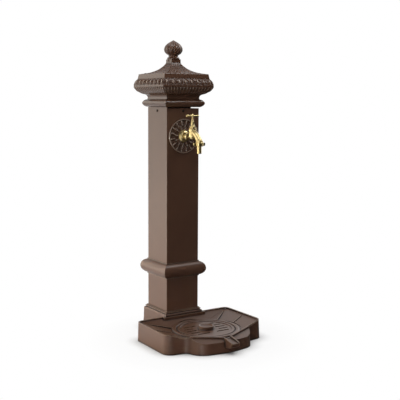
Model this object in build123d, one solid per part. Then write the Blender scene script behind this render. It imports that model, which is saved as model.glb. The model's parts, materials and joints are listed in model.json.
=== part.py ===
"""Garden water fountain: a square cast column with a bib tap and a catch basin.

Millimetres, +Z up. The origin is on the ground, on the axis of the column.
The tap and the basin are on the -Y side, which is the front.
"""
from build123d import *
from math import cos, pi, sin
import os

# Column and plinth
COLUMN_HALF = 60.0
COLUMN_WALL = 4.0
COLUMN_INNER = COLUMN_HALF - COLUMN_WALL
COLUMN_TOP = 728.0
UPSTAND_TOP = 731.2
FLANGE_TOP = 8.0
PLINTH_TOP = 75.0
PLINTH_FOOT_HALF = 72.5
ANCHOR_OFFSET = 42.0
ANCHOR_HOLE_R = 5.5
FLANGE_WINDOW_HALF = 30.0
PLINTH_SCREW_X = 35.0
PLINTH_SCREW_Z = 40.0
BASIN_BOLT_Z = 28.0

# Moulding that hides the middle of the column
COLLAR_LOW = 181.0
COLLAR_HIGH = 232.0
COLLAR_LIP = 62.0
COLLAR_BULGE = 79.2

# Cap, bridge and finial
CAP_BOTTOM = 731.5
CAP_SEAT = 736.0
BAND_TOP = 836.0
NECK_HALF = 17.0
NECK_LOW = 871.0
NECK_HIGH = 883.0
NECK_TOP = 893.0
BRIDGE_BOSS_HALF = 41.0
BRIDGE_LOW = 706.0
BRIDGE_PLATE = 722.0
SCREW_Z = 720.0
NECK_SCREW_Z = 878.0
FINIAL_TOP = 943.5
FINIAL_LOBES = 12
LOBE_DEPTH = 0.075
ROD_R = 5.0

# Tap
TAP_Z = 640.0
SPINDLE_Y = -115.0
SPOUT_Y = -154.5
SPOUT_END_Z = 621.0
SPOUT_BEND = [(-120.0, 652.6), (-130.0, 648.8), (-142.0, 641.2), (-150.8, 632.0), (SPOUT_Y, 625.0)]
OUTLET_R = 10.18
CHAMBER_R = 8.8
HANDLE_Z = 705.0
HANDLE_HALF = 22.5
SEAT_Z = 647.0
SPINDLE_THREAD_R = 3.6
SPINDLE_R = 2.4
JUMPER_R = 1.5
HANDLE_SQUARE = 1.7
THREAD_HALF_INCH_R = 10.48
RUNNING_GAP = 0.05

# Hose union
WING_LOW = 612.0
WING_HIGH = 625.0
WING_SPAN = 21.0
TAIL_R = 7.25
TAIL_SHOULDER_R = 7.6
TAIL_LOW = 589.0

# Water pipe inside the column
RISER_Y = 10.0
RISER_R = 10.65
RISER_BORE = 8.0
INLET_Z = 110.0
CLIP_Z = 380.0

# Rosette behind the tap
ROSETTE_R = 55.0
ROSETTE_BACK = -COLUMN_HALF
ROSETTE_FRONT = -64.0

# Basin
BASIN_REAR = -PLINTH_FOOT_HALF
EAR_REAR = -62.0
NOTCH_HALF = PLINTH_FOOT_HALF + 1.5
BASIN_REAR_HALF = 176.0
BASIN_FRONT_HALF = 179.0
BASIN_REAR_ROUND = 20.0
BASIN_HEIGHT = 60.0
BASIN_WALL = 4.5
RIM_FRONT_Z = 46.0
RIM_STEP = 6.5
CORNER_X = 176.0
CORNER_Y = -252.0
VERTEX_Y = -321.0
BOW_EDGE = (66.0, -321.0, 33.5)
DRAFT = 2.0
PANEL_EDGE_Z = 55.5
BOWL_Y = -199.0
RECESS_R = 107.5
RECESS_Z = 41.0
PANEL_FOOT_Z = RECESS_Z + 2.0
GRATE_R = 90.0
WELL_R = 84.0
WELL_FLOOR = 14.0
BASIN_SKIN = 5.0
GRATE_TOP = 45.0
GRATE_SEAT = 39.5
GRATE_RIM = 9.0
GRATE_BOSS_R = 24.0
GRATE_BOSS_TOP = 54.0
SLOT_WIDTH = 7.5
SLOT_PITCH = 21.0
SLOT_REACH = 72.0
WASTE_R = 20.0
PANEL_JOINTS = [((146, -84), (89, -133)), ((160, -167), (111, -190)), ((163, -248), (91, -266))]
JOINT_WIDTH = 7.0
JOINT_DEPTH = 2.2
BEAD_WIDTH = 2.6
BEAD_RISE = 1.4
FOOT_LINE_R = 111.5
RING_INNER = 93.0
RING_OUTER = 106.0
RING_TOP = 45.8
LIP_HALF = 15.0
TROUGH_HALF = 10.5
LIP_REACH = 37.0


def block(x, y, z):
    """A box between pairs of coordinates."""
    size = Box(x[1] - x[0], y[1] - y[0], z[1] - z[0])
    return Pos(sum(x) / 2, sum(y) / 2, sum(z) / 2) * size


def post(radius, low, high, x=0.0, y=0.0):
    """An upright cylinder."""
    return Pos(x, y, (low + high) / 2) * Cylinder(radius, high - low)


def bar_y(radius, start, end, x, z):
    """A cylinder along Y."""
    return Pos(x, (start + end) / 2, z) * Rot(90, 0, 0) * Cylinder(radius, abs(end - start))


def bar_x(radius, start, end, y, z):
    """A cylinder along X."""
    return Pos((start + end) / 2, y, z) * Rot(0, 90, 0) * Cylinder(radius, abs(end - start))


def turned(outline, x=0.0, y=0.0):
    """A turned piece on an upright axis, from (radius, height) points."""
    face = make_face(Polyline([(r, 0, z) for r, z in outline], close=True))
    return Pos(x, y, 0) * revolve(face, Axis.Z)


def turned_y(outline, x, z):
    """A turned piece on an axis along Y, from (radius, y) points."""
    face = make_face(Polyline([(r, y, 0) for r, y in outline], close=True))
    return Pos(x, 0, z) * revolve(face, Axis.Y)


def hexagon(across_flats, low, high, x=0.0, y=0.0):
    """An upright hexagonal bar."""
    flat = RegularPolygon(across_flats / 2, 6, major_radius=False)
    return Pos(x, y, low) * extrude(flat, high - low)


def hexagon_y(across_flats, start, end, x, z):
    """A hexagonal bar along Y, from start towards +Y."""
    flat = RegularPolygon(across_flats / 2, 6, major_radius=False)
    return Pos(x, end, z) * Rot(90, 0, 0) * extrude(flat, end - start)


def square_moulding(edges):
    """A square casting with mitred corners.

    The edges run from the lowest to the highest point of the right-hand
    outline in the XZ plane. The solid is where two long mouldings cross.
    """
    outline = Wire(edges)
    low = outline @ 0
    high = outline @ 1
    axis_low = Vector(0, 0, low.Z)
    axis_high = Vector(0, 0, high.Z)
    closed = edges + [Line(high, axis_high), Line(axis_high, axis_low), Line(axis_low, low)]
    half = make_face(Wire(closed).edges())
    run = extrude(half, 120, dir=(0, 1, 0), both=True)
    along_y = run + mirror(run, about=Plane.YZ)
    return along_y & (Rot(0, 0, 90) * along_y)


def arc(a, via, b):
    """A circular arc through three (half width, height) points."""
    return ThreePointArc((a[0], 0, a[1]), (via[0], 0, via[1]), (b[0], 0, b[1]))


def line(a, b):
    """A straight edge between two (half width, height) points."""
    return Line((a[0], 0, a[1]), (b[0], 0, b[1]))


def square_tube(half, wall, low, high):
    """A square tube."""
    outer = block((-half, half), (-half, half), (low, high))
    inner = half - wall
    return outer - block((-inner, inner), (-inner, inner), (low - 1, high + 1))


def plinth():
    """Base casting: a moulded skirt round the foot of the column, and its floor flange."""
    skirt = square_moulding([
        line((PLINTH_FOOT_HALF, 0), (PLINTH_FOOT_HALF, 10)),
        line((PLINTH_FOOT_HALF, 10), (71.0, 30)),
        line((71.0, 30), (70.4, 62)),
        arc((70.4, 62), (69.6, 65.4), (67.4, 67.0)),
        line((67.4, 67.0), (65.0, 67.0)),
        line((65.0, 67.0), (65.0, 69.4)),
        line((65.0, 69.4), (66.8, 69.8)),
        line((66.8, 69.8), (66.8, 72.0)),
        line((66.8, 72.0), (63.6, 73.4)),
        line((63.6, 73.4), (63.6, PLINTH_TOP)),
    ])
    socket = block((-COLUMN_HALF, COLUMN_HALF), (-COLUMN_HALF, COLUMN_HALF), (FLANGE_TOP, PLINTH_TOP + 1))
    window = block((-FLANGE_WINDOW_HALF, FLANGE_WINDOW_HALF),
                   (-FLANGE_WINDOW_HALF, FLANGE_WINDOW_HALF), (-1, FLANGE_TOP + 1))
    body = skirt - socket - window
    lead_in = COLUMN_HALF + 1.4
    body -= block((-lead_in, lead_in), (-lead_in, lead_in), (PLINTH_TOP - 2.5, PLINTH_TOP + 1))
    for x in (-ANCHOR_OFFSET, ANCHOR_OFFSET):
        for y in (-ANCHOR_OFFSET, ANCHOR_OFFSET):
            body -= post(ANCHOR_HOLE_R, -1, FLANGE_TOP + 1, x, y)
    for x in (-PLINTH_SCREW_X, PLINTH_SCREW_X):
        body -= bar_y(3.0, COLUMN_HALF - 1, PLINTH_FOOT_HALF + 1, x, PLINTH_SCREW_Z)
        body -= bar_y(4.0, -PLINTH_FOOT_HALF - 1, -COLUMN_HALF + 1, x, BASIN_BOLT_Z)
    return body


def column():
    """Square hollow column, with its holes for the tap, the pipe and the screws.

    The left and rear walls stand up a little higher and close the gap under the cap.
    """
    body = square_tube(COLUMN_HALF, COLUMN_WALL, FLANGE_TOP, UPSTAND_TOP)
    upright = body.edges().filter_by(Axis.Z).group_by(lambda e: abs((e @ 0).X))[-1]
    body = fillet(upright, 1.6)
    wall = (COLUMN_INNER - 1, COLUMN_HALF + 1)
    body -= block((-COLUMN_INNER, wall[1]), (-wall[1], COLUMN_INNER), (COLUMN_TOP, UPSTAND_TOP + 1))
    body -= bar_y(11.0, -wall[1], -wall[0], 0, TAP_Z)
    body -= bar_y(11.0, wall[0], wall[1], 0, INLET_Z)
    body -= bar_y(2.2, wall[0], wall[1], 0, CLIP_Z)
    for x in (-PLINTH_SCREW_X, PLINTH_SCREW_X):
        body -= bar_y(3.0, wall[0], wall[1], x, PLINTH_SCREW_Z)
    for side in (-1, 1):
        body -= bar_x(2.6, side * wall[0], side * wall[1], 0, SCREW_Z)
        body -= bar_y(2.6, side * wall[0], side * wall[1], 0, SCREW_Z)
    return body


def plinth_screws():
    """Two screws through the back of the plinth into the column."""
    screws = []
    for x in (-PLINTH_SCREW_X, PLINTH_SCREW_X):
        shank = bar_y(2.9, COLUMN_INNER - 4, 72.0, x, PLINTH_SCREW_Z)
        head = turned_y([(0, 71.0), (5.0, 71.0), (4.2, 73.4), (2.0, 74.2), (0, 74.2)], x, PLINTH_SCREW_Z)
        slot = block((x - 4, x + 4), (72.8, 75), (PLINTH_SCREW_Z - 0.6, PLINTH_SCREW_Z + 0.6))
        screws.append(shank + head - slot)
    return screws


def mid_collar():
    """Half-round moulding that slides over the column."""
    middle = (COLLAR_LOW + COLLAR_HIGH) / 2
    ring = square_moulding([
        line((COLLAR_LIP, COLLAR_LOW), (COLLAR_LIP, COLLAR_LOW + 3)),
        arc((COLLAR_LIP, COLLAR_LOW + 3), (73.5, 191.5), (78.0, 199.0)),
        arc((78.0, 199.0), (COLLAR_BULGE, middle), (78.0, 214.0)),
        arc((78.0, 214.0), (73.5, 222.5), (COLLAR_LIP, COLLAR_HIGH - 3)),
        line((COLLAR_LIP, COLLAR_HIGH - 3), (COLLAR_LIP, COLLAR_HIGH)),
    ])
    hole = block((-COLUMN_HALF, COLUMN_HALF), (-COLUMN_HALF, COLUMN_HALF),
                 (COLLAR_LOW - 1, COLLAR_HIGH + 1))
    ring -= hole
    for x in (-30, 30):
        ring -= bar_y(2.5, COLUMN_HALF - 1, COLLAR_BULGE + 1, x, middle)
    return ring


def collar_grub_screws():
    """Two grub screws that lock the collar on the back of the column."""
    middle = (COLLAR_LOW + COLLAR_HIGH) / 2
    screws = []
    for x in (-30, 30):
        screw = bar_y(2.45, COLUMN_HALF, COLUMN_HALF + 14, x, middle)
        socket = Pos(0, COLUMN_HALF + 14, 0) * Pos(x, 0, middle) * Rot(90, 0, 0)
        screws.append(screw - socket * extrude(RegularPolygon(1.3, 6), 3))
    return screws


def cap_outline():
    """Right-hand outline of the cap up to the top of its flat band."""
    return [
        line((60.5, CAP_BOTTOM), (62.0, CAP_BOTTOM)),
        arc((62.0, CAP_BOTTOM), (70.5, 736.8), (74.0, 743.5)),
        arc((74.0, 743.5), (71.4, 750.0), (63.5, 755.5)),
        line((63.5, 755.5), (61.2, 756.5)),
        arc((61.2, 756.5), (60.6, 762.5), (65.5, 770.5)),
        line((65.5, 770.5), (69.0, 771.8)),
        arc((69.0, 771.8), (86.2, 782.4), (93.2, 794.0)),
        arc((93.2, 794.0), (93.8, 800.0), (92.6, 806.5)),
        arc((92.6, 806.5), (89.8, 813.5), (85.2, 819.5)),
        line((85.2, 819.5), (84.0, 822.0)),
        line((84.0, 822.0), (81.8, BAND_TOP)),
    ]


def roof_outline():
    """Concave roof from the band to the neck."""
    roof = Spline([(81.8, 0, BAND_TOP), (62.0, 0, 839.2), (46.3, 0, 844.8), (35.2, 0, 851.2),
                   (28.0, 0, 857.4), (21.8, 0, 864.0), (NECK_HALF + 0.6, 0, NECK_LOW)])
    return [roof]


def cap():
    """Cap casting: astragal, cove, ovolo, flat band, concave roof and neck."""
    neck = [
        line((NECK_HALF + 0.6, NECK_LOW), (NECK_HALF, NECK_LOW + 1.5)),
        line((NECK_HALF, NECK_LOW + 1.5), (NECK_HALF, NECK_HIGH)),
    ]
    body = square_moulding(cap_outline() + roof_outline() + neck)
    body += turned([(0, NECK_HIGH - 1), (19.5, NECK_HIGH - 1), (20.5, 885.0), (19.4, 887.6),
                    (16.8, 889.6), (15.2, 891.0), (15.2, NECK_TOP), (0, NECK_TOP)])
    hollow = square_moulding([
        line((54.0, CAP_BOTTOM - 1), (54.0, 766.0)),
        line((54.0, 766.0), (76.0, 790.0)),
        line((76.0, 790.0), (76.0, 828.0)),
        line((76.0, 828.0), (44.0, 838.0)),
        line((44.0, 838.0), (22.0, 854.0)),
    ])
    rib_half = 3.0
    ribs = block((-rib_half, rib_half), (-80, 80), (CAP_SEAT, 860))
    ribs += block((-80, 80), (-rib_half, rib_half), (CAP_SEAT, 860))
    ribs += post(10.0, CAP_SEAT, 862)
    body = (body - hollow) + (body & (hollow & ribs))
    body -= post(ROD_R + 0.3, CAP_BOTTOM, NECK_TOP + 1)
    body -= bar_x(2.5, -NECK_HALF - 4, -ROD_R, 0, NECK_SCREW_Z)
    return body


def neck_set_screw():
    """Set screw in the side of the neck, which locks the tie rod."""
    screw = bar_x(2.45, -NECK_HALF + 1.5, -ROD_R - 0.1, 0, NECK_SCREW_Z)
    return screw - block((-NECK_HALF, -NECK_HALF + 2.3), (-0.5, 0.5), (NECK_SCREW_Z - 3, NECK_SCREW_Z + 3))


def top_bridge():
    """Bridge inside the top of the column: its raised boss carries the cap."""
    frame = square_tube(COLUMN_INNER, 5.0, BRIDGE_LOW, COLUMN_TOP - 1)
    plate = block((-COLUMN_INNER, COLUMN_INNER), (-COLUMN_INNER, COLUMN_INNER),
                  (BRIDGE_PLATE, COLUMN_TOP - 1))
    boss = square_tube(BRIDGE_BOSS_HALF, 5.0, COLUMN_TOP - 1, CAP_SEAT)
    body = frame + plate + boss - post(ROD_R + 0.3, BRIDGE_PLATE - 1, COLUMN_TOP)
    for side in (-1, 1):
        body -= bar_x(2.5, side * 50, side * COLUMN_HALF, 0, SCREW_Z)
        body -= bar_y(2.5, side * 50, side * COLUMN_HALF, 0, SCREW_Z)
    return body


def bridge_screws():
    """Four round-head screws, one in the middle of each face, that hold the bridge."""
    screw = bar_x(2.45, 51.0, COLUMN_HALF + 0.2, 0, SCREW_Z)
    screw += Pos(COLUMN_HALF, 0, SCREW_Z) * Rot(0, 90, 0) * revolve(make_face(Polyline(
        [(0, 0, 0), (4.4, 0, 0), (3.9, 0, 1.5), (2.2, 0, 2.5), (0, 0, 2.8)], close=True)), Axis.Z)
    screw -= block((COLUMN_HALF + 1.7, COLUMN_HALF + 4), (-0.55, 0.55), (SCREW_Z - 4, SCREW_Z + 4))
    return [Rot(0, 0, angle) * screw for angle in (0, 90, 180, 270)]


def tie_rod():
    """Threaded rod from the bridge through the cap into the finial."""
    return post(ROD_R, 708.0, 912.0)


def tie_rod_nuts():
    """Two nuts that clamp the tie rod to the bridge plate."""
    bore = post(ROD_R + RUNNING_GAP, 700, 740)
    lower = hexagon(17.0, BRIDGE_PLATE - 8.0, BRIDGE_PLATE) - bore
    upper = hexagon(17.0, COLUMN_TOP - 1, COLUMN_TOP + 7) - bore
    return [lower, upper]


def lobed_section(radius, height):
    """A closed outline of equal round lobes."""
    step = 2 * pi / FINIAL_LOBES
    edges = []
    for lobe in range(FINIAL_LOBES):
        start = (lobe - 0.5) * step
        valley = radius * (1 - LOBE_DEPTH)
        a = (valley * cos(start), valley * sin(start), height)
        via = (radius * cos(start + step / 2), radius * sin(start + step / 2), height)
        b = (valley * cos(start + step), valley * sin(start + step), height)
        edges.append(ThreePointArc(a, via, b))
    return make_face(Wire(edges).edges())


def finial():
    """Lobed ball with a point, screwed on the tie rod."""
    outline = [(15.6, 896.0), (20.6, 898.6), (25.2, 902.2), (28.2, 906.4), (30.2, 911.0),
               (30.6, 914.5), (29.8, 919.0), (28.0, 923.8), (25.2, 927.4), (21.6, 931.0),
               (17.4, 934.0), (12.6, 937.2), (7.4, 940.2), (3.0, 942.6), (1.0, FINIAL_TOP)]
    ball = loft([lobed_section(radius, height) for radius, height in outline], ruled=True)
    foot = turned([(0, NECK_TOP), (15.6, NECK_TOP), (16.2, 894.4), (15.6, 896.4), (0, 896.4)])
    return foot + ball - post(ROD_R + 0.05, NECK_TOP - 1, 914.0)


def rosette():
    """Round plate with a raised rim and two rings of pointed leaves."""
    plate = turned_y([(11.0, ROSETTE_BACK), (ROSETTE_R, ROSETTE_BACK), (ROSETTE_R, ROSETTE_FRONT - 2.6),
                      (ROSETTE_R - 1.4, ROSETTE_FRONT - 3.4), (ROSETTE_R - 3.2, ROSETTE_FRONT - 2.6),
                      (ROSETTE_R - 4.4, ROSETTE_FRONT), (11.0, ROSETTE_FRONT)], 0, TAP_Z)
    for count, inner, outer, width, turn in ((12, 21.0, 34.0, 4.0, 0.0), (16, 35.5, 49.0, 4.6, 0.5)):
        length = (outer - inner) / 2
        for index in range(count):
            angle = (index + turn) * 360 / count
            leaf = Pos(0, 0, (inner + outer) / 2) * scale(Sphere(1), (width, 2.8, length))
            plate += Pos(0, ROSETTE_FRONT, TAP_Z) * Rot(0, angle, 0) * leaf
    return plate


def wall_flange():
    """Domed brass escutcheon round the inlet of the tap."""
    face = ROSETTE_FRONT
    return turned_y([(10.8, face), (20.0, face), (20.4, face - 1.6), (19.6, face - 4.2),
                     (16.6, face - 8.6), (12.8, face - 11.6), (10.8, face - 12.2)], 0, TAP_Z)


def spout(radius, low):
    """Solid round bar along the spout, from inside the chamber down through the bend to low."""
    start, *middle, end = [(0, y, z) for y, z in SPOUT_BEND]
    bend = Spline([start, *middle, end], tangents=[(0, -1, -0.3), (0, 0, -1)])
    path = Wire([bend, Line(end, (0, SPOUT_Y, low))])
    ring = Plane(origin=start, z_dir=(0, -1, -0.3)) * Circle(radius)
    return sweep(ring, path=path)


def tap_body():
    """Bib tap casting: inlet tail, valve chamber with its seat, and sloping spout."""
    inlet = bar_y(THREAD_HALF_INCH_R, -88.0, RISER_Y - 12.5, 0, TAP_Z)
    neck = turned_y([(0, -84.0), (12.4, -84.0), (12.4, -88.0), (10.2, -90.5), (9.4, -94.0), (9.4, -108.0),
                     (0, -108.0)], 0, TAP_Z)
    barrel = turned([(0, 630.5), (3.5, 630.5), (6.6, 631.5), (9.4, 634.0), (11.2, 639.0), (11.8, 646.0),
                     (11.8, 661.5), (12.6, 662.5), (12.6, 665.0), (0, 665.0)], 0, SPINDLE_Y)
    outlet = post(OUTLET_R, SPOUT_END_Z, 627.5, 0, SPOUT_Y)
    lip = post(11.4, 626.2, 629.5, 0, SPOUT_Y)
    body = inlet + neck + barrel + spout(9.6, 624.0) + outlet + lip
    body -= bar_y(7.4, RISER_Y, SPINDLE_Y, 0, TAP_Z)
    body -= post(7.6, 633.5, SEAT_Z - 3.0, 0, SPINDLE_Y)
    body -= post(4.6, 633.5, SEAT_Z + 1.0, 0, SPINDLE_Y)
    body -= post(CHAMBER_R, SEAT_Z, 666.0, 0, SPINDLE_Y)
    return body - spout(5.6, SPOUT_END_Z - 1)


def tap_seal():
    """Rubber washer between the column wall and the lock nut."""
    outer = bar_y(17.0, -COLUMN_INNER, -COLUMN_INNER + 2.5, 0, TAP_Z)
    return outer - bar_y(THREAD_HALF_INCH_R + 0.1, -COLUMN_HALF, -50, 0, TAP_Z)


def tap_lock_nut():
    """Brass nut that pulls the tap against the wall from inside."""
    start = -COLUMN_INNER + 2.5
    nut = hexagon_y(28.0, start, start + 7.0, 0, TAP_Z)
    return nut - bar_y(THREAD_HALF_INCH_R + 0.05, start - 1, start + 8, 0, TAP_Z)


def bonnet_seal():
    """Fibre ring under the bonnet."""
    return post(12.3, 665.0, 666.2, 0, SPINDLE_Y) - post(CHAMBER_R + 0.1, 664, 667, 0, SPINDLE_Y)


def bonnet():
    """Headwork screwed into the chamber: it guides the spindle and holds the packing."""
    plug = post(CHAMBER_R - 0.1, 659.0, 667.0, 0, SPINDLE_Y)
    shoulder = turned([(0, 666.2), (12.0, 666.2), (12.0, 667.4), (10.6, 668.6), (0, 668.6)], 0, SPINDLE_Y)
    hexagonal = hexagon(17.0, 668.0, 672.5, 0, SPINDLE_Y)
    tower = turned([(0, 672.0), (7.8, 672.0), (6.6, 674.0), (5.6, 676.0), (5.6, 681.5), (0, 681.5)],
                   0, SPINDLE_Y)
    body = plug + shoulder + hexagonal + tower
    body -= post(SPINDLE_THREAD_R + RUNNING_GAP, 656, 677.0, 0, SPINDLE_Y)
    return body - post(4.2, 676.5, 682, 0, SPINDLE_Y)


def gland_packing():
    """Soft ring that seals the spindle."""
    return post(4.1, 676.5, 680.0, 0, SPINDLE_Y) - post(SPINDLE_R + RUNNING_GAP, 676, 681, 0, SPINDLE_Y)


def gland_nut():
    """Nut that squeezes the packing, with a tapered top."""
    foot = turned([(0, 681.5), (5.8, 681.5), (5.8, 685.6), (4.6, 687.0), (0, 687.0)], 0, SPINDLE_Y)
    nut = foot & hexagon(10.0, 681.5, 688.0, 0, SPINDLE_Y)
    cone = turned([(0, 686.5), (4.2, 686.5), (3.2, 693.0), (0, 693.0)], 0, SPINDLE_Y)
    plug = post(4.1, 680.0, 681.6, 0, SPINDLE_Y)
    return nut + cone + plug - post(SPINDLE_R + RUNNING_GAP, 679, 694, 0, SPINDLE_Y)


def spindle():
    """Screwed spindle with a hollow foot for the valve stem."""
    thread = post(SPINDLE_THREAD_R, 655.5, 671.0, 0, SPINDLE_Y)
    stem = post(SPINDLE_R, 671.0, 700.5, 0, SPINDLE_Y)
    square = block((-HANDLE_SQUARE, HANDLE_SQUARE), (SPINDLE_Y - HANDLE_SQUARE, SPINDLE_Y + HANDLE_SQUARE),
                   (700.5, 708.4))
    stud = post(1.3, 708.4, 710.6, 0, SPINDLE_Y)
    body = thread + stem + square + stud
    return body - post(JUMPER_R + RUNNING_GAP, 654, 666.5, 0, SPINDLE_Y)


def jumper_valve():
    """Valve disc with a guide stem that hangs in the foot of the spindle."""
    disc = turned([(0, SEAT_Z + 2.6), (6.6, SEAT_Z + 2.6), (6.6, SEAT_Z + 4.4), (3.0, SEAT_Z + 5.6),
                   (2.4, SEAT_Z + 8.4), (0, SEAT_Z + 8.4)], 0, SPINDLE_Y)
    stem = post(JUMPER_R, SEAT_Z + 8.0, 666.0, 0, SPINDLE_Y)
    stub = post(1.5, SEAT_Z - 2.0, SEAT_Z + 3.0, 0, SPINDLE_Y)
    return disc + stem + stub


def valve_washer():
    """Rubber washer that closes the seat."""
    return post(6.4, SEAT_Z, SEAT_Z + 2.6, 0, SPINDLE_Y) - post(1.55, SEAT_Z - 1, SEAT_Z + 3, 0, SPINDLE_Y)


def washer_nut():
    """Small nut that keeps the washer on the valve."""
    nut = hexagon(5.0, SEAT_Z - 1.8, SEAT_Z, 0, SPINDLE_Y)
    return nut - post(1.55, SEAT_Z - 3, SEAT_Z + 1, 0, SPINDLE_Y)


def tee_handle():
    """T handle: a small hub with a nearly plain bar."""
    hub = turned([(0, 700.6), (3.6, 700.6), (4.6, 702.0), (4.6, 707.4), (3.6, 708.6), (0, 708.6)],
                 0, SPINDLE_Y)
    half = [(0, 0), (3.1, 0), (3.0, 9.0), (3.2, 15.0), (3.6, 18.0), (3.7, 20.6), (3.1, 22.0),
            (1.6, HANDLE_HALF), (0, HANDLE_HALF)]
    arm = revolve(make_face(Polyline([(r, 0, z) for r, z in half], close=True)), Axis.Z)
    right = Pos(0, SPINDLE_Y, HANDLE_Z) * Rot(0, 90, 0) * arm
    left = Pos(0, SPINDLE_Y, HANDLE_Z) * Rot(0, -90, 0) * arm
    hole = HANDLE_SQUARE + 0.05
    return hub + right + left - block((-hole, hole), (SPINDLE_Y - hole, SPINDLE_Y + hole), (699, 711))


def handle_nut():
    """Domed nut on top of the handle."""
    nut = turned([(0, 708.8), (3.2, 708.8), (3.2, 710.2), (2.2, 711.2), (0, 711.6)], 0, SPINDLE_Y)
    return nut - post(1.35, 708, 710.8, 0, SPINDLE_Y)


def union_washer():
    """Rubber washer between the spout and the hose tail."""
    return post(9.6, 618.8, SPOUT_END_Z, 0, SPOUT_Y) - post(5.6, 618, 622, 0, SPOUT_Y)


def hose_tail():
    """Tube that the hose is pushed on, with the flange that the wing nut pulls up."""
    outer = turned([(0, TAIL_LOW), (6.6, TAIL_LOW), (TAIL_R, TAIL_LOW + 1.2), (TAIL_R, WING_LOW - 0.5),
                    (TAIL_SHOULDER_R, WING_LOW - 0.5), (TAIL_SHOULDER_R, 616.0),
                    (9.7, 616.0), (9.7, 618.8), (0, 618.8)], 0, SPOUT_Y)
    return outer - post(5.4, TAIL_LOW - 1, 620, 0, SPOUT_Y)


def wing_nut():
    """Union nut with two wings."""
    barrel = turned([(0, WING_LOW), (11.2, WING_LOW), (12.6, WING_LOW + 1.6), (12.8, WING_HIGH - 1.2),
                     (12.0, WING_HIGH), (0, WING_HIGH)], 0, SPOUT_Y)
    wing = Pos(0, SPOUT_Y + 2.0, 0) * extrude(make_face(Polyline(
        [(10, 0, WING_LOW + 1.0), (16.5, 0, WING_LOW + 0.6), (19.8, 0, WING_LOW + 2.2),
         (WING_SPAN, 0, WING_LOW + 5.6), (20.4, 0, WING_LOW + 9.6), (18.0, 0, WING_LOW + 11.2),
         (14.5, 0, WING_LOW + 9.4), (10, 0, WING_LOW + 9.8)], close=True)), 4.0, dir=(0, -1, 0))
    wings = wing + mirror(wing, about=Plane.YZ)
    body = barrel + wings
    body -= post(OUTLET_R + 0.1, 615.9, WING_HIGH + 1, 0, SPOUT_Y)
    return body - post(TAIL_SHOULDER_R + 0.1, WING_LOW - 1, 617, 0, SPOUT_Y)


def riser_pipe():
    """Steel pipe that brings the water up to the tap."""
    low, high = INLET_Z + 12.0, TAP_Z - 12.0
    return post(RISER_R, low, high, 0, RISER_Y) - post(RISER_BORE, low - 1, high + 1, 0, RISER_Y)


def elbow(z, up, towards):
    """Brass elbow between the riser and a horizontal fitting."""
    side = 1 if up else -1
    upright = post(14.0, min(z, z + side * 24), max(z, z + side * 24), 0, RISER_Y)
    socket = (min(z + side * 12, z + side * 25), max(z + side * 12, z + side * 25))
    level_end = RISER_Y + towards * 26.0
    level = bar_y(14.0, RISER_Y, level_end, 0, z)
    body = upright + level + Pos(0, RISER_Y, z) * Sphere(14.0)
    body -= post(RISER_R + 0.05, socket[0], socket[1], 0, RISER_Y)
    body -= bar_y(THREAD_HALF_INCH_R + 0.05, RISER_Y + towards * 12, level_end + towards, 0, z)
    body -= post(7.5, min(z, z + side * 13), max(z, z + side * 13), 0, RISER_Y)
    body -= bar_y(7.5, RISER_Y, RISER_Y + towards * 13, 0, z)
    return body - Pos(0, RISER_Y, z) * Sphere(7.5)


def inlet_nipple():
    """Supply connection through the back of the column, with a male half inch thread."""
    body = bar_y(THREAD_HALF_INCH_R, RISER_Y + 12.5, COLUMN_HALF + 20.0, 0, INLET_Z)
    body += hexagon_y(26.0, COLUMN_HALF, COLUMN_HALF + 6.0, 0, INLET_Z)
    return body - bar_y(7.5, RISER_Y + 10, COLUMN_HALF + 21, 0, INLET_Z)


def inlet_washer():
    """Rubber washer inside the column wall at the inlet."""
    outer = bar_y(16.0, COLUMN_INNER - 2.5, COLUMN_INNER, 0, INLET_Z)
    return outer - bar_y(THREAD_HALF_INCH_R + 0.1, 50, COLUMN_HALF, 0, INLET_Z)


def inlet_lock_nut():
    """Nut that holds the inlet nipple in the wall."""
    end = COLUMN_INNER - 2.5
    nut = hexagon_y(28.0, end - 6.0, end, 0, INLET_Z)
    return nut - bar_y(THREAD_HALF_INCH_R + 0.05, end - 7, end + 1, 0, INLET_Z)


def riser_clip():
    """Saddle that ties the riser to the back wall."""
    band = post(RISER_R + 2.6, CLIP_Z - 9, CLIP_Z + 9, 0, RISER_Y)
    arm = block((-5, 5), (RISER_Y + RISER_R, COLUMN_INNER), (CLIP_Z - 9, CLIP_Z + 9))
    foot = block((-14, 14), (COLUMN_INNER - 3, COLUMN_INNER), (CLIP_Z - 9, CLIP_Z + 9))
    body = band + arm + foot - post(RISER_R + 0.05, CLIP_Z - 10, CLIP_Z + 10, 0, RISER_Y)
    return body - bar_y(2.1, COLUMN_INNER - 16, COLUMN_HALF, 0, CLIP_Z)


def riser_clip_screw():
    """Screw through the back wall into the clip."""
    shank = bar_y(2.0, COLUMN_INNER - 14, COLUMN_HALF + 0.2, 0, CLIP_Z)
    head = turned_y([(0, 0), (4.0, 0), (3.4, 1.5), (1.8, 2.3), (0, 2.5)], 0, CLIP_Z)
    slot = block((-3.5, 3.5), (COLUMN_HALF + 1.5, COLUMN_HALF + 4), (CLIP_Z - 0.5, CLIP_Z + 0.5))
    return shank + Pos(0, COLUMN_HALF, 0) * head - slot


def rear_points(half, inset):
    """Rear edge of the basin from left to right: two ears with a notch for the plinth between them."""
    notch = NOTCH_HALF + inset
    return [(-half, EAR_REAR - inset), (-notch, EAR_REAR - inset), (-notch, BASIN_REAR - inset),
            (notch, BASIN_REAR - inset), (notch, EAR_REAR - inset), (half, EAR_REAR - inset)]


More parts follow.
